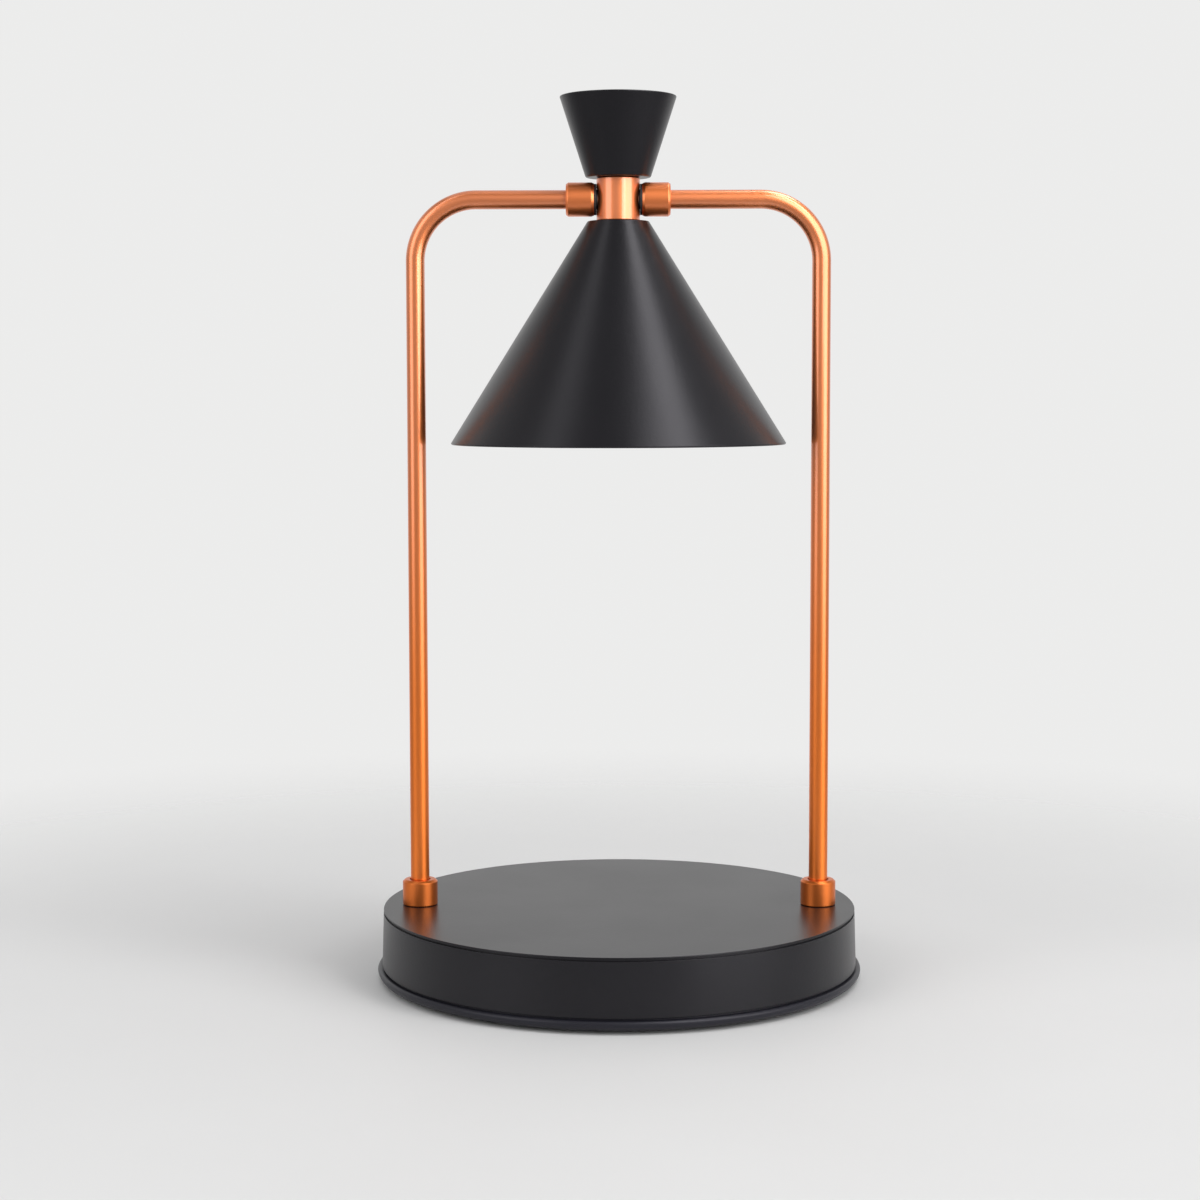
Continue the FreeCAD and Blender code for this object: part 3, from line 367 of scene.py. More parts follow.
# %% [markdown]
# A turned solid is its outline carried once round an axis, as a lathe does. Each outline point becomes
# a ring of points, and a point on the axis becomes a single one. Neighbouring rings are joined by
# faces, and so are the last and the first, which closes the solid.

# %% Turned solids
MM = 0.001
ON_AXIS = 1e-6
AXES = {"X": lambda r, a, h: (h, r * math.cos(a), r * math.sin(a)),
        "Y": lambda r, a, h: (r * math.sin(a), h, r * math.cos(a)),
        "Z": lambda r, a, h: (r * math.cos(a), r * math.sin(a), h)}


def quads(rings):
    """Faces between neighbouring rings, the last one joined to the first."""
    faces = []
    for index, ring in enumerate(rings):
        following = rings[(index + 1) % len(rings)]
        for side in range(max(len(ring), len(following))):
            beside = side + 1
            corner = [ring[side % len(ring)], ring[beside % len(ring)],
                      following[beside % len(following)], following[side % len(following)]]
            corner = list(dict.fromkeys(corner))
            if len(corner) > 2:
                faces.append(corner)
    return faces


def turned(corners, sides, axis="Z", at=(0, 0, 0)):
    """Points in metres and faces of an outline in mm turned about an axis through the point at."""
    outline = softened(corners)
    area = sum(p.x * q.y - q.x * p.y for p, q in zip(outline, outline[1:] + outline[:1]))
    if area < 0:
        outline.reverse()
    points = []
    rings = []
    for radius, height in outline:
        count = sides if radius > ON_AXIS else 1
        rings.append(range(len(points), len(points) + count))
        for side in range(count):
            spot = AXES[axis](radius, 2 * math.pi * side / sides, height)
            points.append((Vector(spot) + Vector(at)) * MM)
    return points, quads([list(ring) for ring in rings])


def gathered(solids):
    """Several solids' points and faces as one."""
    points = []
    faces = []
    for more_points, more_faces in solids:
        faces += [[corner + len(points) for corner in face] for face in more_faces]
        points += more_points
    return points, faces


print("lathe ready for the axes", list(AXES))

# %% [markdown]
# A solid becomes a piece of the lamp in one place. Booleans join other solids to it or cut them out,
# and its modifiers are applied. It is shaded smooth with sharp edges kept, and weighted normals hold
# its flats flat. Then it is told which body it rides on, which finish it takes and which node of the
# frame it stands for.

# %% Pieces
PIECE_SLOTS = {}


def mesh_object(name, solid):
    """A linked object with a clean mesh."""
    points, faces = solid
    mesh = bpy.data.meshes.new(name)
    mesh.from_pydata(points, [], faces)
    mesh.validate()
    thing = bpy.data.objects.new(name, mesh)
    bpy.context.scene.collection.objects.link(thing)
    return thing


def baked(thing):
    """Swap the object's mesh for the one that its modifiers give."""
    graph = bpy.context.evaluated_depsgraph_get()
    mesh = bpy.data.meshes.new_from_object(thing.evaluated_get(graph))
    thing.modifiers.clear()
    thing.data = mesh


def piece(name, solid, body, slot, stands_for=(), add=None, cut=None, sharp=30.0):
    """A finished piece: joined with and cut by other solids, softly shaded, riding on its body."""
    thing = mesh_object(name, solid)
    for operation, other in (("UNION", add), ("DIFFERENCE", cut)):
        if other is None:
            continue
        tool = mesh_object("tool", other)
        boolean = thing.modifiers.new("tool", "BOOLEAN")
        boolean.operation = operation
        boolean.solver = "EXACT"
        boolean.object = tool
        baked(thing)
        bpy.data.objects.remove(tool)
    thing.data.shade_smooth()
    thing.data.set_sharp_from_angle(angle=math.radians(sharp))
    weighted = thing.modifiers.new("shading", "WEIGHTED_NORMAL")
    weighted.keep_sharp = True
    baked(thing)
    thing.data.name = name
    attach(thing, body)
    if stands_for:
        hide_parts(*stands_for)
    PIECE_SLOTS[name] = slot
    print(name, "faces", len(thing.data.polygons))
    return thing


print("workshop ready")

# %% [markdown]
# The heights and places of the pieces are read from the boxes of the frame's nodes, so that every piece
# made here sits where the frame says. The frame is in metres and the outlines are in millimetres, so
# the helpers for heights give millimetres.

# %% Places in the frame
def low_mm(node):
    """Height of a node's lowest point, in mm."""
    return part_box(node)[0][2] / MM


def high_mm(node):
    """Height of a node's highest point, in mm."""
    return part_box(node)[1][2] / MM


def middle(node):
    """Centre of a node's box, in metres."""
    low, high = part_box(node)
    return (Vector(low) + Vector(high)) / 2


BASE_TOP = high_mm("base_shell")
POST_X = middle("base_collar_right").x
POST_X_MM = POST_X / MM
print("base top", round(BASE_TOP, 2), "post x", round(POST_X_MM, 2))

# %% [markdown]
# ## The base
#
# The base is a pressed steel shell on a bottom plate. The shell is a turned outline: its side widens a
# little downwards, as a pressing must to leave its die, and a fine line is rolled in just under its top
# edge. The outline runs along the inside first and back along the outside, so the wall is a real one.

# %% Base shell
SHELL_LOW = low_mm("base_shell")
SHELL_TOP_R = 80.4
SHELL_BOTTOM_R = 81.0
SHELL_WALL = 1.4
ROOF = BASE_TOP - SHELL_WALL
CORNER_IN = 0.5
CORNER_DOWN = 1.2
LINE_DROP = 0.35
LINE_WIDTH = 0.9
LINE_DEPTH = 0.7
LINE_HIGH = BASE_TOP - LINE_DROP
LINE_LOW = LINE_HIGH - LINE_WIDTH
LINE_HIGH_R = 80.42
LINE_LOW_R = 80.44
shell = turned([(0, ROOF),
                (SHELL_TOP_R - SHELL_WALL - CORNER_IN, ROOF, 0.4),
                (SHELL_TOP_R - SHELL_WALL, ROOF - CORNER_DOWN, 0.4),
                (SHELL_BOTTOM_R - SHELL_WALL, SHELL_LOW, 0.15),
                (SHELL_BOTTOM_R, SHELL_LOW, 0.25),
                (LINE_LOW_R, LINE_LOW, 0.1),
                (LINE_LOW_R - LINE_DEPTH, LINE_LOW),
                (LINE_HIGH_R - LINE_DEPTH, LINE_HIGH),
                (LINE_HIGH_R, LINE_HIGH, 0.05),
                (SHELL_TOP_R, BASE_TOP, 0.25),
                (0, BASE_TOP)], sides=256)
print("shell turned, roof at", round(ROOF, 2))

# %% [markdown]
# Four bosses under the roof take the screws, the posts pass through the roof, and the cord's grommet
# sits in the rear wall. None of these is round about the lamp's axis, so they are joined on and cut out
# with Booleans, which leave the round top edge as it is. A boss reaches a little into the roof and a
# cutter sticks out of both sides of its wall, because faces that only touch confuse a Boolean.

# %% Bosses and holes of the shell
DIAGONALS = [math.radians(45 + 90 * quarter) for quarter in range(4)]
BOSS_CIRCLE_R = 44.0
BOSS_R = 4.0
BOSS_LOW = ROOF - 12.0
BOSS_HIGH = ROOF + 0.3
SCREW_R = 1.5
SCREW_HOLE_HIGH = 19.2
TUBE_R = 3.175
POST_HOLE_R = TUBE_R + 0.1
THROUGH_ROOF = (20, 30)
INLET_NECK_R = 4.5
THROUGH_REAR = (70, 90)


def on_diagonals(radius, corners):
    """The same turned solid on all four diagonals."""
    spots = [(radius * math.cos(angle), radius * math.sin(angle), 0) for angle in DIAGONALS]
    return gathered([turned(corners, sides=48, at=spot) for spot in spots])


bosses = on_diagonals(BOSS_CIRCLE_R, [(SCREW_R, BOSS_LOW), (BOSS_R, BOSS_LOW), (BOSS_R, BOSS_HIGH),
                                      (0, BOSS_HIGH), (0, SCREW_HOLE_HIGH), (SCREW_R, SCREW_HOLE_HIGH)])
post_holes = [turned(rod(POST_HOLE_R, *THROUGH_ROOF), sides=64, at=(x, 0, 0))
              for x in (-POST_X_MM, POST_X_MM)]
inlet_spot = (0, 0, middle("cord_inlet").z / MM)
inlet_hole = turned(rod(INLET_NECK_R, *THROUGH_REAR), sides=64, axis="Y", at=inlet_spot)
piece("pressed_shell", shell, "stand", "powder_black", ["base_shell"], add=bosses,
      cut=gathered(post_holes + [inlet_hole]))

# %% [markdown]
# The bottom plate closes the base. Its rounded flange shows below the shell as a lip, with a thin
# shadow groove between the two, and a rim inside the shell keeps it in the middle. It is one turned
# outline. The pillars that carry the screws are joined on, and the ways of the screws and the seats of
# the rubber feet are cut out.

# %% Bottom plate
PLATE_LOW = 1.2
PLATE_HIGH = 3.6
FLANGE_R = 82.5
FLANGE_HIGH = 4.4
GROOVE_R = 80.3
GROOVE_HIGH = 4.9
RIM_R = 79.4
RIM_BORE_R = 77.6
RIM_HIGH = 7.5
PILLAR_LOW = 3.4
HEAD_WAY_R = 3.2
HEAD_WAY_HIGH = 4.2
SCREW_WAY_R = 1.7
SCREW_WAY_HIGH = 12
FOOT_CIRCLE_R = 68.0
FOOT_R = 6.0
FOOT_SEAT_HIGH = 2.2
plate_shape = turned([(0, PLATE_LOW),
                      (FLANGE_R, PLATE_LOW, 2.2), (FLANGE_R, FLANGE_HIGH, 1.0),
                      (GROOVE_R, FLANGE_HIGH, 0.1), (GROOVE_R, GROOVE_HIGH),
                      (RIM_R, GROOVE_HIGH), (RIM_R, RIM_HIGH, 0.2),
                      (RIM_BORE_R, RIM_HIGH, 0.2), (RIM_BORE_R, PLATE_HIGH),
                      (0, PLATE_HIGH)], sides=256)
pillars = on_diagonals(BOSS_CIRCLE_R, rod(BOSS_R, PILLAR_LOW, BOSS_LOW))
screw_ways = on_diagonals(BOSS_CIRCLE_R, [(0, 0), (HEAD_WAY_R, 0), (HEAD_WAY_R, HEAD_WAY_HIGH),
                                          (SCREW_WAY_R, HEAD_WAY_HIGH), (SCREW_WAY_R, SCREW_WAY_HIGH),
                                          (0, SCREW_WAY_HIGH)])
foot_seats = on_diagonals(FOOT_CIRCLE_R, rod(FOOT_R, 0, FOOT_SEAT_HIGH))
piece("bottom_plate", plate_shape, "stand", "plate_black", ["base_plate"], add=pillars,
      cut=gathered([screw_ways, foot_seats]))

# %% [markdown]
# ## The posts and their collars
#
# Each post is one copper tube, bent once. A curve with a bevel would be quicker, but it has no wall, and
# this tube is hollow, because the lead runs through it. So a ring of points is carried along the
# centreline, up, round the bend and in to the head, once outside and once back inside.

# %% Tubes
ARCH_Z = middle("head_collar_right").z
ARCH_MM = ARCH_Z / MM
BEND_R = 20.5 * MM
BEND_MM = BEND_R / MM
BEND_STEPS = 40
TUBE_BORE_R = 2.375
TUBE_SIDES = 64
TUBE_END_X = 12.5


def tube(side, low, end_x, outer, inner):
    """A bent tube with wall, from the height low to the distance end_x from the lamp's centre."""
    stations = [((POST_X_MM, low), 0.0)]
    for step in range(BEND_STEPS + 1):
        angle = math.pi / 2 * step / BEND_STEPS
        x = POST_X_MM - BEND_MM + BEND_MM * math.cos(angle)
        z = ARCH_MM - BEND_MM + BEND_MM * math.sin(angle)
        stations.append(((x, z), angle))
    stations.append(((end_x, ARCH_MM), math.pi / 2))
    points = []
    rings = []
    for radius, order in ((outer, stations), (inner, stations[::-1])):
        for (x, z), angle in order:
            ring = []
            for corner in range(TUBE_SIDES):
                turn = 2 * math.pi * corner / TUBE_SIDES * side
                off = radius * math.cos(turn)
                ring.append(len(points))
                points.append(Vector((side * (x + off * math.cos(angle)), radius * math.sin(turn),
                                      z + off * math.sin(angle))) * MM)
            rings.append(ring)
    return points, quads(rings)


SIDES = (("left", -1), ("right", 1))
for side_name, side in SIDES:
    node = "post_" + side_name
    shape = tube(side, low_mm(node), TUBE_END_X, TUBE_R, TUBE_BORE_R)
    piece("tube_" + side_name, shape, "stand", "copper_tube", [node])

# %% [markdown]
# A collar covers the hole at the foot of each tube. It is turned, with a chamfer at its top and a
# narrow mouth round the tube, which shows as a dark ring.

# %% Outline of the foot collars
BASE_COLLAR_R = 5.95
BASE_COLLAR_HIGH = BASE_TOP + 8.8
COLLAR_FOOT_EDGE = 0.3
COLLAR_CHAMFER = 0.8
MOUTH_R = TUBE_R + 0.4
MOUTH_LOW = BASE_COLLAR_HIGH - 2.0
base_collar = [(TUBE_R, BASE_TOP), (BASE_COLLAR_R - COLLAR_FOOT_EDGE, BASE_TOP),
               (BASE_COLLAR_R, BASE_TOP + COLLAR_FOOT_EDGE, 0.1),
               (BASE_COLLAR_R, BASE_COLLAR_HIGH - COLLAR_CHAMFER, 0.25),
               (BASE_COLLAR_R - COLLAR_CHAMFER, BASE_COLLAR_HIGH, 0.25),
               (MOUTH_R, BASE_COLLAR_HIGH, 0.12), (MOUTH_R, MOUTH_LOW), (TUBE_R, MOUTH_LOW)]
print("foot collar's top at", round(BASE_COLLAR_HIGH, 2))

# %% [markdown]
# The collars at the arch hold the tubes' ends and the pivot screws, so their axis is the tilt axis. Each
# has a slim bevel towards the barrel and another towards the tube. Bevels this small hardly change the
# shape, but each catches its own light. The outline is written for the right side and mirrored for the
# left. Then each post gets its two collars.

# %% Arch collars and foot collars
PIVOT_R = 2.8
HEAD_COLLAR_R = 5.7
COLLAR_FACE_X = 8.1
COLLAR_BACK_X = 17.5
FACE_BEVEL_IN, FACE_BEVEL_LEN = 0.35, 0.9
BACK_BEVEL_IN, BACK_BEVEL_LEN = 0.55, 0.75
head_collar = [(PIVOT_R, COLLAR_FACE_X), (HEAD_COLLAR_R - FACE_BEVEL_IN, COLLAR_FACE_X, 0.12),
               (HEAD_COLLAR_R, COLLAR_FACE_X + FACE_BEVEL_LEN, 0.4),
               (HEAD_COLLAR_R, COLLAR_BACK_X - BACK_BEVEL_LEN, 0.3),
               (HEAD_COLLAR_R - BACK_BEVEL_IN, COLLAR_BACK_X, 0.2),
               (TUBE_R, COLLAR_BACK_X, 0.1), (TUBE_R, TUBE_END_X), (PIVOT_R, TUBE_END_X)]


def on_arch(corners, side):
    """An outline (radius, distance from the lamp's centre) turned about the tilt axis, on one side."""
    mirrored = [(corner[0], side * corner[1], *corner[2:]) for corner in corners]
    return turned(mirrored, sides=96, axis="X", at=(0, 0, ARCH_MM))


for side_name, side in SIDES:
    foot = turned(base_collar, sides=96, at=(side * POST_X_MM, 0, 0))
    piece("foot_collar_" + side_name, foot, "stand", "copper_collar", ["base_collar_" + side_name])
    arch = on_arch(head_collar, side)
    piece("arch_collar_" + side_name, arch, "stand", "copper_collar", ["head_collar_" + side_name])

# %% [markdown]
# Between each arch collar and the barrel sits a nylon washer that gives the tilt its friction. Its flange
# is
# widened to fill the whole gap in black: partly a real washer, partly a dark part that stands in for the
# shade in the gap. Its narrower front lies in a flat seat of the barrel.

# %% Friction washers
WASHER_R = 3.4
WASHER_FRONT_X = 6.85
# The flange's radius is widened to fill the gap with black: painted shade between collar and barrel.
WASHER_FLANGE_R = 5.2
WASHER_FLANGE_X = 7.34
washer = [(PIVOT_R, WASHER_FRONT_X), (WASHER_R, WASHER_FRONT_X, 0.1), (WASHER_R, WASHER_FLANGE_X),
          (WASHER_FLANGE_R, WASHER_FLANGE_X, 0.15), (WASHER_FLANGE_R, COLLAR_FACE_X, 0.15),
          (PIVOT_R, COLLAR_FACE_X)]
piece("flanged_washers", gathered([on_arch(washer, -1), on_arch(washer, 1)]), "stand", "black_nylon",
      ["friction_washers"])

# %% [markdown]
# ## The tilting head
#
# The barrel is a turned body, bored from below for the stem, from above for the stud and from side to
# side for the two hollow pivot screws. One stepped cutter turned about the tilt axis makes the side
# bores and the flat seats of the friction washers. Its outline is the same on both sides of the middle,
# so only half of it is written down.

# %% Barrel
BARREL_LOW = low_mm("swivel_barrel")
BARREL_HIGH = high_mm("swivel_barrel")
BARREL_R = 7.3
BARREL_EDGE = 0.4
STEM_R = 5.0
STUD_R = 3.0
CAVITY_R = 4.45
CAVITY_LOW = ARCH_MM - 4.1
CAVITY_HIGH = ARCH_MM + 4.3
SEAT_R = 3.7
SEAT_X = 6.8
PIVOT_WAY_R = PIVOT_R + 0.05
HOLLOW_R = 4.2
CUTTER_X = 9
barrel = turned([(STEM_R, BARREL_LOW), (BARREL_R - BARREL_EDGE, BARREL_LOW, 0.12),
                 (BARREL_R, BARREL_LOW + BARREL_EDGE, 0.2), (BARREL_R, BARREL_HIGH - BARREL_EDGE, 0.2),
                 (BARREL_R - BARREL_EDGE, BARREL_HIGH, 0.12), (STUD_R, BARREL_HIGH),
                 (STUD_R, CAVITY_HIGH), (CAVITY_R, CAVITY_HIGH),
                 (CAVITY_R, CAVITY_LOW), (STEM_R, CAVITY_LOW)], sides=128)
half_cutter = [(0, -CUTTER_X), (SEAT_R, -CUTTER_X), (SEAT_R, -SEAT_X), (PIVOT_WAY_R, -SEAT_X),
               (PIVOT_WAY_R, -CAVITY_R), (HOLLOW_R, -CAVITY_R)]
other_half = [(radius, -x) for radius, x in reversed(half_cutter)]
side_bores = turned(half_cutter + other_half, sides=96, axis="X", at=(0, 0, ARCH_MM))
piece("barrel_turned", barrel, "head", "copper_barrel", ["swivel_barrel"], cut=side_bores)

# %% [markdown]
# The shade is spun from sheet: an even wall, a flat crown under the barrel and a lip whose two edges are
# rounded, which gives the thin bright line along the rim.

# %% Shade
SHADE_HIGH = high_mm("shade")
SHADE_LOW = low_mm("shade")
SHADE_HOLE_R = 5.1
SHADE_CROWN_T = 1.0
SHADE_TOP_R = 10.3
SHADE_TOP_BORE_R = 9.51
SHADE_RIM_R = 56.5
SHADE_RIM_BORE_R = 55.09
LIP_IN_R = 55.35
LIP_IN_RISE = 0.12
LIP_OUT_R = 56.25
LIP_OUT_RISE = 0.45
shade = turned([(SHADE_HOLE_R, SHADE_HIGH), (SHADE_HOLE_R, SHADE_HIGH - SHADE_CROWN_T),
                (SHADE_TOP_BORE_R, SHADE_HIGH - SHADE_CROWN_T, 0.6),
                (SHADE_RIM_BORE_R, SHADE_LOW + LIP_IN_RISE, 0.35),
                (LIP_IN_R, SHADE_LOW, 0.2), (LIP_OUT_R, SHADE_LOW, 0.25),
                (SHADE_RIM_R, SHADE_LOW + LIP_OUT_RISE, 0.3), (SHADE_TOP_R, SHADE_HIGH, 0.5)], sides=256)
piece("shade_cone", shade, "head", "powder_black", ["shade"])

# %% [markdown]
# The cup on top is spun the same way. Its bottom edge is rounder than its rim, and the stud of the
# barrel comes up through the hole in its floor.

# %% Cup
CUP_LOW = low_mm("upper_cone")
CUP_HIGH = high_mm("upper_cone")
CUP_FLOOR = CUP_LOW + 1.0
CUP_BOTTOM_R = 10.9
CUP_BOTTOM_BORE_R = 10.17
CUP_RIM_R = 19.6
CUP_RIM_BORE_R = 18.55
cup = turned([(STUD_R, CUP_LOW), (CUP_BOTTOM_R, CUP_LOW, 0.8), (CUP_RIM_R, CUP_HIGH, 0.3),
              (CUP_RIM_BORE_R, CUP_HIGH, 0.3), (CUP_BOTTOM_BORE_R, CUP_FLOOR, 0.8),
              (STUD_R, CUP_FLOOR)], sides=192)
piece("top_cup", cup, "head", "powder_black", ["upper_cone"])

# %% [markdown]
# ## The bulb
#
# The bulb is a 50 mm halogen reflector with a twist-lock cap. Its reflector is pressed glass whose inside
# is a mosaic of small mirrors. Here every ring of the inside lies on the chords of a polygon, so each
# facet is truly flat and mirrors its own bit of the room, while the outside stays a smooth bowl.

# %% Reflector
BULB_CAP_LOW = low_mm("bulb_cap")
BULB_FRONT = low_mm("bulb_reflector")
BULB_R = 25.0
BULB_NECK_R = 9.6
GLASS = 1.2
RIM_LEN = 3.4
FACETS = 36
FACET_RINGS = 7
SMOOTH_RINGS = FACET_RINGS * 3
BOWL_SIDES = FACETS * 4
BOWL_LIP = [(BULB_R - GLASS, 0.9), (22.9, 0.9), (22.9, 0.15), (23.05, 0), (24.4, 0), (24.85, 0.15),
            (BULB_R, 0.6)]


def bowl_height(radius):
    """Height of the reflector's paraboloid at a radius, from the cap down to the rim."""
    share = (radius ** 2 - BULB_NECK_R ** 2) / (BULB_R ** 2 - BULB_NECK_R ** 2)
    return BULB_CAP_LOW - share * (BULB_CAP_LOW - BULB_FRONT - RIM_LEN)


def bowl_ring(radius, height, flat, points):
    """One ring of points; a flat ring lies on the chords between its facets' corners."""
    ring = []
    for side in range(BOWL_SIDES):
        angle = 2 * math.pi * side / BOWL_SIDES
        reach = radius
        if flat:
            within = angle % (2 * math.pi / FACETS) - math.pi / FACETS
            reach = radius * math.cos(math.pi / FACETS) / math.cos(within)
        ring.append(len(points))
        points.append(Vector((reach * math.cos(angle), reach * math.sin(angle), height)) * MM)
    return ring


bowl_points = []
bowl_rings = []
for step in range(SMOOTH_RINGS + 1):
    radius = BULB_R - (BULB_R - BULB_NECK_R) * step / SMOOTH_RINGS
    bowl_rings.append(bowl_ring(radius, bowl_height(radius), False, bowl_points))
for step in range(FACET_RINGS + 1):
    radius = BULB_NECK_R + (BULB_R - BULB_NECK_R) * step / FACET_RINGS
    bowl_rings.append(bowl_ring(radius - GLASS, bowl_height(radius), True, bowl_points))
for radius, rise in BOWL_LIP:
    bowl_rings.append(bowl_ring(radius, BULB_FRONT + rise, False, bowl_points))
piece("reflector_bowl", (bowl_points, quads(bowl_rings)), "bulb", "reflector_coat", ["bulb_reflector"],
      sharp=3.0)

# %% [markdown]
# The front glass is a thin disc with a rounded edge. The burner behind it is a quartz capsule with a
# round tip, closed by a solid pinch at the top, so its hollow ends below that.

# %% Front glass and burner
LENS_LOW = low_mm("bulb_lens")
LENS_HIGH = LENS_LOW + 1.6
LENS_R = BULB_R - GLASS
lens = turned([(0, LENS_LOW), (LENS_R, LENS_LOW, 0.3), (LENS_R, LENS_HIGH, 0.3), (0, LENS_HIGH)],
              sides=128)
piece("front_glass", lens, "bulb", "front_glass", ["bulb_lens"])

BURNER_TOP = high_mm("bulb_capsule")
BURNER_TIP = low_mm("bulb_capsule")
BURNER_R = 4.3
HOLLOW_TIP = BURNER_TIP + 0.7
HOLLOW_TOP = BURNER_TOP - 6.0
BURNER_BORE_R = 3.65
burner = turned([(0, BURNER_TOP), (BURNER_R, BURNER_TOP, 0.3), (BURNER_R, BURNER_TIP, 4.2),
                 (0, BURNER_TIP), (0, HOLLOW_TIP), (BURNER_BORE_R, HOLLOW_TIP, 3.5),
                 (BURNER_BORE_R, HOLLOW_TOP, 1.5), (0, HOLLOW_TOP)], sides=64)
piece("burner_glass", burner, "bulb", "burner_glass", ["bulb_capsule"])

# %% [markdown]
# Inside the burner a tungsten coil hangs on two wires. The coil is a real helix: a thin ring of points
# is carried along a screw line. Each ring takes its sideways direction from the ring before it, so that
# the wire doesn't twist on its way.

# %% Filament
WIRE_SIDES = 8
COIL_TURNS = 9
COIL_STEPS = 16
COIL_LOW = BURNER_TIP + 4.0
COIL_LEN = 5.4
COIL_HIGH = COIL_LOW + COIL_LEN
COIL_R = 0.75
COIL_WIRE_R = 0.16
LEAD_WIRE_R = 0.2
LEADS_HIGH = BURNER_TOP - 5.0


def wire_along(path, radius):
    """A thin round wire through a list of points in mm, closed at both ends."""
    points = []
    rings = []
    for index, spot in enumerate(path):
        ahead = (path[min(index + 1, len(path) - 1)] - path[max(index - 1, 0)]).normalized()
        aside = ahead.orthogonal() if index == 0 else aside - ahead * aside.dot(ahead)
        aside = aside.normalized()
        up = ahead.cross(aside)
        rings.append(list(range(len(points), len(points) + WIRE_SIDES)))
        for side in range(WIRE_SIDES):
            turn = 2 * math.pi * side / WIRE_SIDES
            points.append((spot + (aside * math.cos(turn) + up * math.sin(turn)) * radius) * MM)
    faces = quads(rings)[:-WIRE_SIDES]
    faces += [rings[0][::-1], rings[-1]]
    return points, faces


coil = []
for step in range(COIL_TURNS * COIL_STEPS + 1):
    angle = 2 * math.pi * step / COIL_STEPS
    height = COIL_LOW + COIL_LEN * step / (COIL_TURNS * COIL_STEPS)
    coil.append(Vector((COIL_R * math.cos(angle), COIL_R * math.sin(angle), height)))
piece("filament_coil", wire_along(coil, COIL_WIRE_R), "bulb", "pin_nickel")

low_wire = [(COIL_R, COIL_LOW), (1.6, COIL_LOW - 0.5), (2.3, COIL_LOW), (2.4, COIL_LOW + 1.5),
            (2.4, LEADS_HIGH)]
high_wire = [(COIL_R, COIL_HIGH), (-0.4, COIL_HIGH + 0.8), (-1.6, LEADS_HIGH)]
wires = [wire_along([Vector((x, 0, z)) for x, z in path], LEAD_WIRE_R) for path in (low_wire, high_wire)]
piece("filament_wires", gathered(wires), "bulb", "pin_nickel")

# %% [markdown]
# ## Finishes
#
# **Powder coat.** The shade, the cup and the base are steel under a satin black powder coat. Powder melts
# into a skin with a very fine orange peel, so its gloss is a little uneven and never mirror sharp. Two
# noises of the right size in the bump give the peel, and a slow noise lets the sheen drift over the
# form. The bottom plate is sprayed with a thinner and duller coat of nearly the same black.

# %% Powder coat
POWDER_TINTS = (0.0062, 0.0060, 0.0072, 1.0), (0.0085, 0.0082, 0.0100, 1.0)
PLATE_TINTS = (0.009, 0.009, 0.014, 1.0), (0.012, 0.012, 0.018, 1.0)
SHEEN_TINT = (0.96, 0.935, 1.0, 1.0)
PEEL_SCALE = 900.0
PEEL_GRAIN_SCALE = 5200.0
SPRAY_SCALE = 2600.0


def powder_paint(sheet):
    """Satin black with a fine orange peel."""
    point = sheet.point()
    peel = sheet.noise(point, PEEL_SCALE) + 0.4 * sheet.noise(point, PEEL_GRAIN_SCALE, 1.0)
    cloud = sheet.noise(point, 30.0, 3.0)
    return {"Base Color": sheet.blend(cloud, *POWDER_TINTS),
            "Roughness": 0.27 + 0.06 * cloud,
            "Normal": sheet.bump(peel, 0.02 * MM)}


def plate_paint(sheet):
    """A thin sprayed black with a blue cast."""
    point = sheet.point()
    cloud = sheet.noise(point, 40.0, 3.0)
    return {"Base Color": sheet.blend(cloud, *PLATE_TINTS),
            "Roughness": 0.36 + 0.06 * cloud,
            "Normal": sheet.bump(sheet.noise(point, SPRAY_SCALE), 0.004 * MM)}


finish("powder_black", powder_paint, Specular_IOR_Level=0.31, Specular_Tint=SHEEN_TINT)
finish("plate_black", plate_paint, Specular_IOR_Level=0.35, Specular_Tint=SHEEN_TINT)
print("finishes so far", list(FINISHES))

# %% [markdown]
# **Tool marks on copper.** The tubes were drawn through a die, so their fine lines run along them, round
# the bend too. Collars and barrel were turned, so theirs run round the axis. Noise becomes lines when
# its point hardly moves in one direction: along the tube it is squeezed to a fiftieth, and for turned
# rings only the place along the axis is left.

# %% Tool marks
STRETCH = 0.02
DRAWN_SCALE = 3500.0
RING_SCALE = 3000.0
COLLARS_PART = ARCH_Z - 20 * MM, ARCH_Z - 19 * MM


def drawn_lines(sheet, x, y, z):
    """Noise drawn out along the tube, straight up and round the bend."""
    beyond = sheet.maths("ABSOLUTE", x) - (POST_X - BEND_R)
    above = z - (ARCH_Z - BEND_R)
    outer = sheet.maths("MAXIMUM", beyond, 0.0)
    upper = sheet.maths("MAXIMUM", above, 0.0)
    offset = (outer * outer + upper * upper) ** 0.5
    along = (sheet.maths("ARCTAN2", upper, outer) * BEND_R + sheet.maths("MINIMUM", above, 0.0)
             - sheet.maths("MINIMUM", beyond, 0.0))
    return sheet.noise(sheet.vector(offset, y, along * STRETCH), DRAWN_SCALE)


def turned_upright(sheet, x, y, z):
    """Fine rings round an upright axis."""
    return sheet.noise(sheet.vector(0.0, 0.0, z), RING_SCALE, 3.0)


def turned_across(sheet, x, y, z):
    """Fine rings round the tilt axis."""
    return sheet.noise(sheet.vector(x, 0.0, 0.0), RING_SCALE, 3.0)


def collar_lines(sheet, x, y, z):
    """Rings round the axis of each collar: upright at the base, across at the arch."""
    high = sheet.steps(z, *COLLARS_PART)
    return (1 - high) * turned_upright(sheet, x, y, z) + high * turned_across(sheet, x, y, z)


print("tool marks ready")
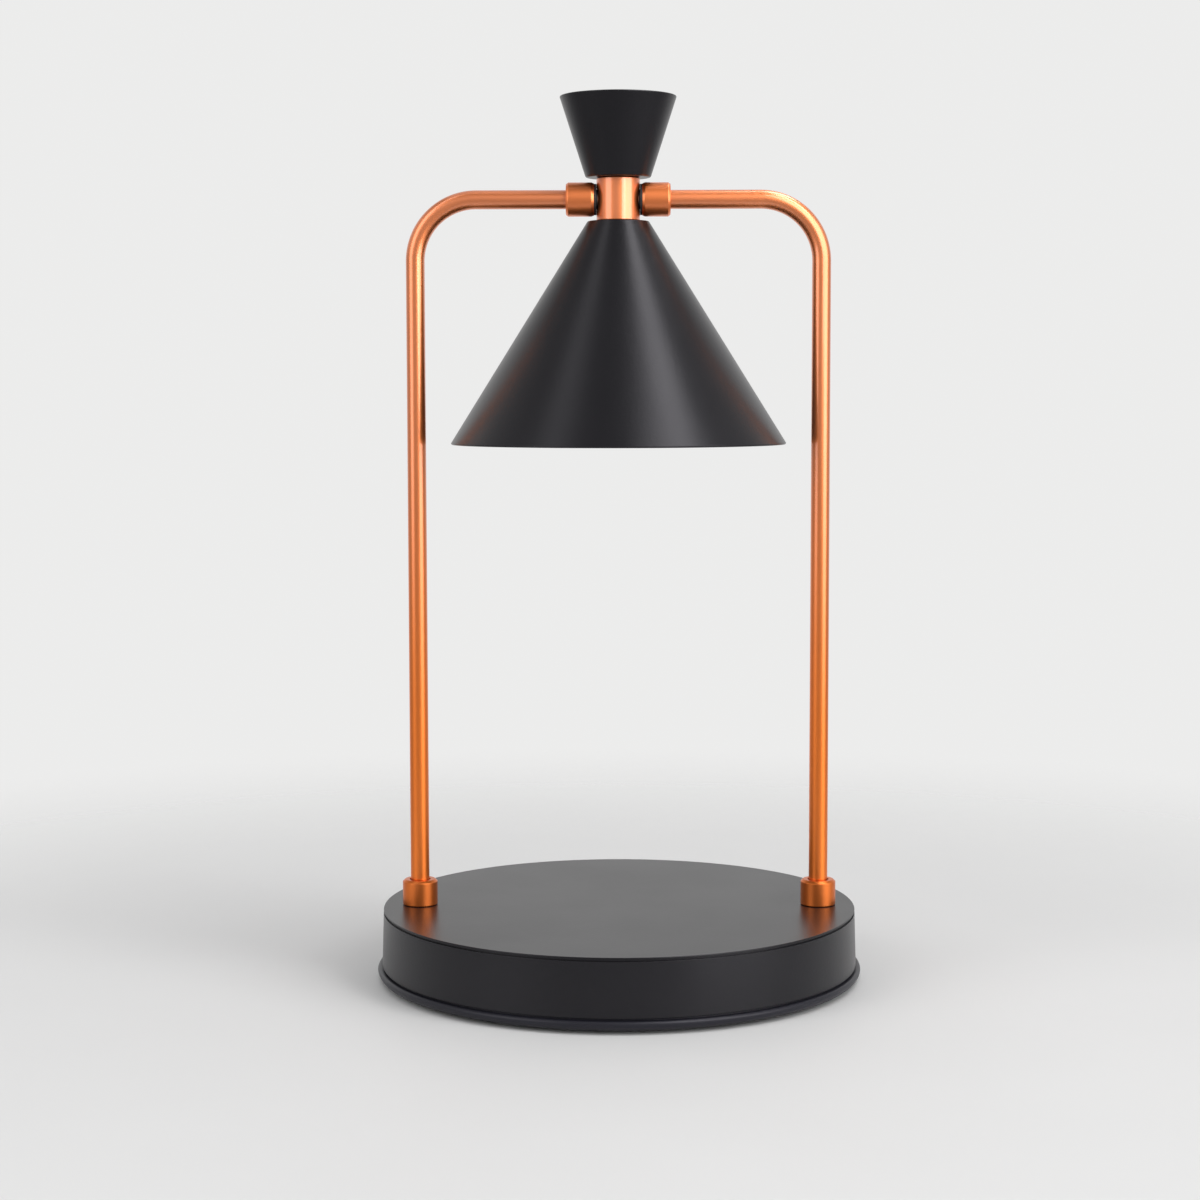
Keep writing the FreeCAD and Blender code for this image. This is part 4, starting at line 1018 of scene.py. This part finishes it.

# %% [markdown]
# ** Copper.** The copper parts are plated, brushed a little by the tools that shaped them, and sealed in
# clear lacquer. The metal gives the orange, and the lacquer is a coat with its own uncoloured gloss,
# which turns the highlights cream. Towards the base the copper is painted more golden and the coat's gloss
# is cut back: painted warm light, as from a lit candle beside the lamp.

# %% Copper
# Painted warm light: below these heights the copper is painted more golden and its coat's gloss thinner.
WARM_LIGHT_HEIGHTS = 70 * MM, 210 * MM
WARM_LIGHT_COAT_CUT = 0.8
TUBE_TINTS = (0.82, 0.226, 0.062), (0.85, 0.241, 0.072)
COLLAR_TINTS = (0.82, 0.215, 0.055), (0.85, 0.232, 0.065)
BARREL_TINTS = (0.86, 0.235, 0.070), (0.88, 0.255, 0.080)
# Painted warm light: the tubes' colour low down, warmer than their own tints.
WARM_LIT_TUBE = (0.82, 0.200, 0.030)
# Painted warm light: the foot collars, low down, take this warmer copper, which is also darker.
WARM_LIT_FOOT_COLLAR = (0.69, 0.173, 0.035)


def copper_paint(low, high, rough, lines, depth, warm_light_tint=None, coat=1.0):
    """Paint of one copper part: its two colours and tool lines, and near the base a painted warm light."""
    def paint(sheet):
        point = sheet.point()
        x, y, z = sheet.axes(point)
        tool = lines(sheet, x, y, z)
        cloud = sheet.noise(point, 60.0, 3.0)
        looks = {"Base Color": sheet.blend(cloud, (*low, 1.0), (*high, 1.0)),
                 "Roughness": rough + 0.03 * cloud + 0.05 * tool,
                 "Normal": sheet.bump(tool, depth * MM)}
        # Painted warm light: towards the base the colour turns golden and the coat's gloss is cut back.
        if warm_light_tint:
            warm_share = 1 - sheet.steps(z, *WARM_LIGHT_HEIGHTS)
            looks["Base Color"] = sheet.blend(warm_share, looks["Base Color"], (*warm_light_tint, 1.0))
            looks["Coat Weight"] = coat * (1 - WARM_LIGHT_COAT_CUT * warm_share)
        return looks
    return paint


tube_paint = copper_paint(*TUBE_TINTS, rough=0.34, lines=drawn_lines, depth=0.0012, warm_light_tint=WARM_LIT_TUBE)
collar_paint = copper_paint(*COLLAR_TINTS, rough=0.34, lines=collar_lines, depth=0.002,
                            warm_light_tint=WARM_LIT_FOOT_COLLAR, coat=0.8)
barrel_paint = copper_paint(*BARREL_TINTS, rough=0.40, lines=turned_upright, depth=0.002)
finish("copper_tube", tube_paint, Metallic=1.0, Coat_Roughness=0.16, Coat_IOR=1.75)
finish("copper_collar", collar_paint, Metallic=1.0, Coat_Roughness=0.18)
finish("copper_barrel", barrel_paint, Metallic=1.0, Coat_Weight=1.0, Coat_Roughness=0.10, Coat_IOR=1.8)
print("copper finishes", [name for name in FINISHES if "copper" in name])

# %% [markdown]
# **Plain metals.** Zinc plate has a faint blue cast and a soft crystal mottle. The casting is grey iron
# with the grain of its sand mould. Brass and nickel are the contact metals. One paint serves them all,
# and a row gives its two colours, the scale of its mottle, its roughness and its grain's depth in mm.

# %% Plain metals
METALS = {
    "zinc_steel": ((0.52, 0.54, 0.57), (0.63, 0.64, 0.65), 380.0, 0.26, 0.003),
    "grey_iron": ((0.13, 0.13, 0.135), (0.20, 0.20, 0.20), 500.0, 0.52, 0.05),
    "terminal_brass": ((0.72, 0.48, 0.17), (0.80, 0.56, 0.22), 300.0, 0.24, 0.002),
    "pin_nickel": ((0.60, 0.58, 0.54), (0.68, 0.66, 0.62), 300.0, 0.22, 0.002),
}


def metal_paint(low, high, scale, rough, depth):
    """Paint of a plain metal: mottled between two colours, with a grain six times as fine."""
    def paint(sheet):
        point = sheet.point()
        mottle = sheet.noise(point, scale, 4.0)
        return {"Base Color": sheet.blend(mottle, (*low, 1.0), (*high, 1.0)),
                "Roughness": rough + 0.10 * mottle,
                "Normal": sheet.bump(sheet.noise(point, scale * 6), depth * MM)}
    return paint


for slot, settings in METALS.items():
    finish(slot, metal_paint(*settings), Metallic=1.0)
print("plain metals", list(METALS))

# %% [markdown]
# **Mouldings.** Rubber is dull with a soft bloom. Moulded nylon carries the even grain that spark
# erosion leaves in a mould, and the sheaths of the leads are smoother. A row gives the two colours, the
# scale of the grain, the roughness and the grain's depth in mm.

# %% Mouldings
MOULDED = {
    "foot_rubber": ((0.020, 0.020, 0.021), (0.030, 0.029, 0.029), 2400.0, 0.68, 0.03),
    "black_nylon": ((0.012, 0.012, 0.013), (0.017, 0.017, 0.018), 3200.0, 0.42, 0.02),
    "lead_sheath": ((0.022, 0.022, 0.023), (0.030, 0.030, 0.031), 1800.0, 0.34, 0.01),
    "core_white": ((0.66, 0.65, 0.61), (0.71, 0.70, 0.66), 1800.0, 0.38, 0.01),
    "terminal_white": ((0.68, 0.67, 0.63), (0.73, 0.72, 0.68), 2600.0, 0.40, 0.01),
}


def moulded_paint(low, high, scale, rough, depth):
    """Paint of a moulding: nearly one colour, with the grain of its mould."""
    def paint(sheet):
        point = sheet.point()
        cloud = sheet.noise(point, 70.0, 3.0)
        grain = sheet.noise(point, scale)
        return {"Base Color": sheet.blend(cloud, (*low, 1.0), (*high, 1.0)),
                "Roughness": rough + 0.08 * grain,
                "Normal": sheet.bump(grain, depth * MM)}
    return paint


for slot, settings in MOULDED.items():
    finish(slot, moulded_paint(*settings))
print("mouldings", list(MOULDED))

# %% [markdown]
# **Porcelain.** The lampholder is steatite porcelain under a thin glaze: a warm white body with a few
# darker specks, where a noise rises above a threshold, and a clear coat over it.

# %% Porcelain
BODY_TINTS = (0.66, 0.64, 0.58, 1.0), (0.72, 0.70, 0.65, 1.0)
SPECK_TINT = (0.42, 0.38, 0.32, 1.0)
SPECK_SCALE = 1500.0
SPECK_THRESHOLD = (0.66, 0.74)


def porcelain_paint(sheet):
    """Warm white with fine specks."""
    point = sheet.point()
    specks = sheet.steps(sheet.noise(point, SPECK_SCALE), *SPECK_THRESHOLD)
    body = sheet.blend(sheet.noise(point, 60.0, 3.0), *BODY_TINTS)
    return {"Base Color": sheet.blend(0.35 * specks, body, SPECK_TINT),
            "Roughness": 0.36 + 0.12 * specks,
            "Normal": sheet.bump(sheet.noise(point, 700.0), 0.01 * MM)}


finish("porcelain", porcelain_paint, Coat_Weight=0.7, Coat_Roughness=0.12)
print("glazed", FINISHES["porcelain"].name)

# %% [markdown]
# **Glass and mirror.** The reflector's coating is evaporated aluminium: a mirror whose tint drifts from
# straw to rose, as thin films do. The front glass and the quartz burner are clear, with only the faint
# waviness of pressed glass.

# %% Glass and mirror
MIRROR_TINTS = (0.84, 0.80, 0.72, 1.0), (0.86, 0.80, 0.79, 1.0)
CLEAR_TINTS = (0.97, 0.985, 0.98, 1.0), (0.99, 0.995, 0.99, 1.0)
PRESSED_WAVE_SCALE = 120.0
QUARTZ_WAVE_SCALE = 260.0


def mirror_paint(sheet):
    """Aluminium film, straw to rose."""
    point = sheet.point()
    drift = sheet.noise(point, 45.0)
    return {"Base Color": sheet.blend(drift, *MIRROR_TINTS),
            "Roughness": 0.07 + 0.05 * drift,
            "Normal": sheet.bump(sheet.noise(point, 400.0), 0.01 * MM)}


def clear_paint(scale):
    """Paint of clear glass: hardly any tint, and a slight waviness of its surface."""
    def paint(sheet):
        wave = sheet.noise(sheet.point(), scale, 1.0)
        return {"Base Color": sheet.blend(wave, *CLEAR_TINTS),
                "Roughness": 0.01 + 0.02 * wave,
                "Normal": sheet.bump(wave, 0.02 * MM)}
    return paint


finish("reflector_coat", mirror_paint, Metallic=1.0)
finish("front_glass", clear_paint(PRESSED_WAVE_SCALE), Transmission_Weight=1.0, IOR=1.5)
finish("burner_glass", clear_paint(QUARTZ_WAVE_SCALE), Transmission_Weight=1.0, IOR=1.46)
print("finishes", len(FINISHES))

# %% [markdown]
# Every node of the frame takes the finish of the material slot that its record names, and every piece
# made here takes the finish of its own slot.

# %% Dressing
for row in frame["record"]["subparts"]:
    node = frame["nodes"][row["node"]]
    node.data.materials.clear()
    node.data.materials.append(FINISHES[row["material_slot"]])
for name, slot in PIECE_SLOTS.items():
    bpy.data.objects[name].data.materials.append(FINISHES[slot])
print("dressed", len(frame["nodes"]), "nodes and", len(PIECE_SLOTS), "pieces")
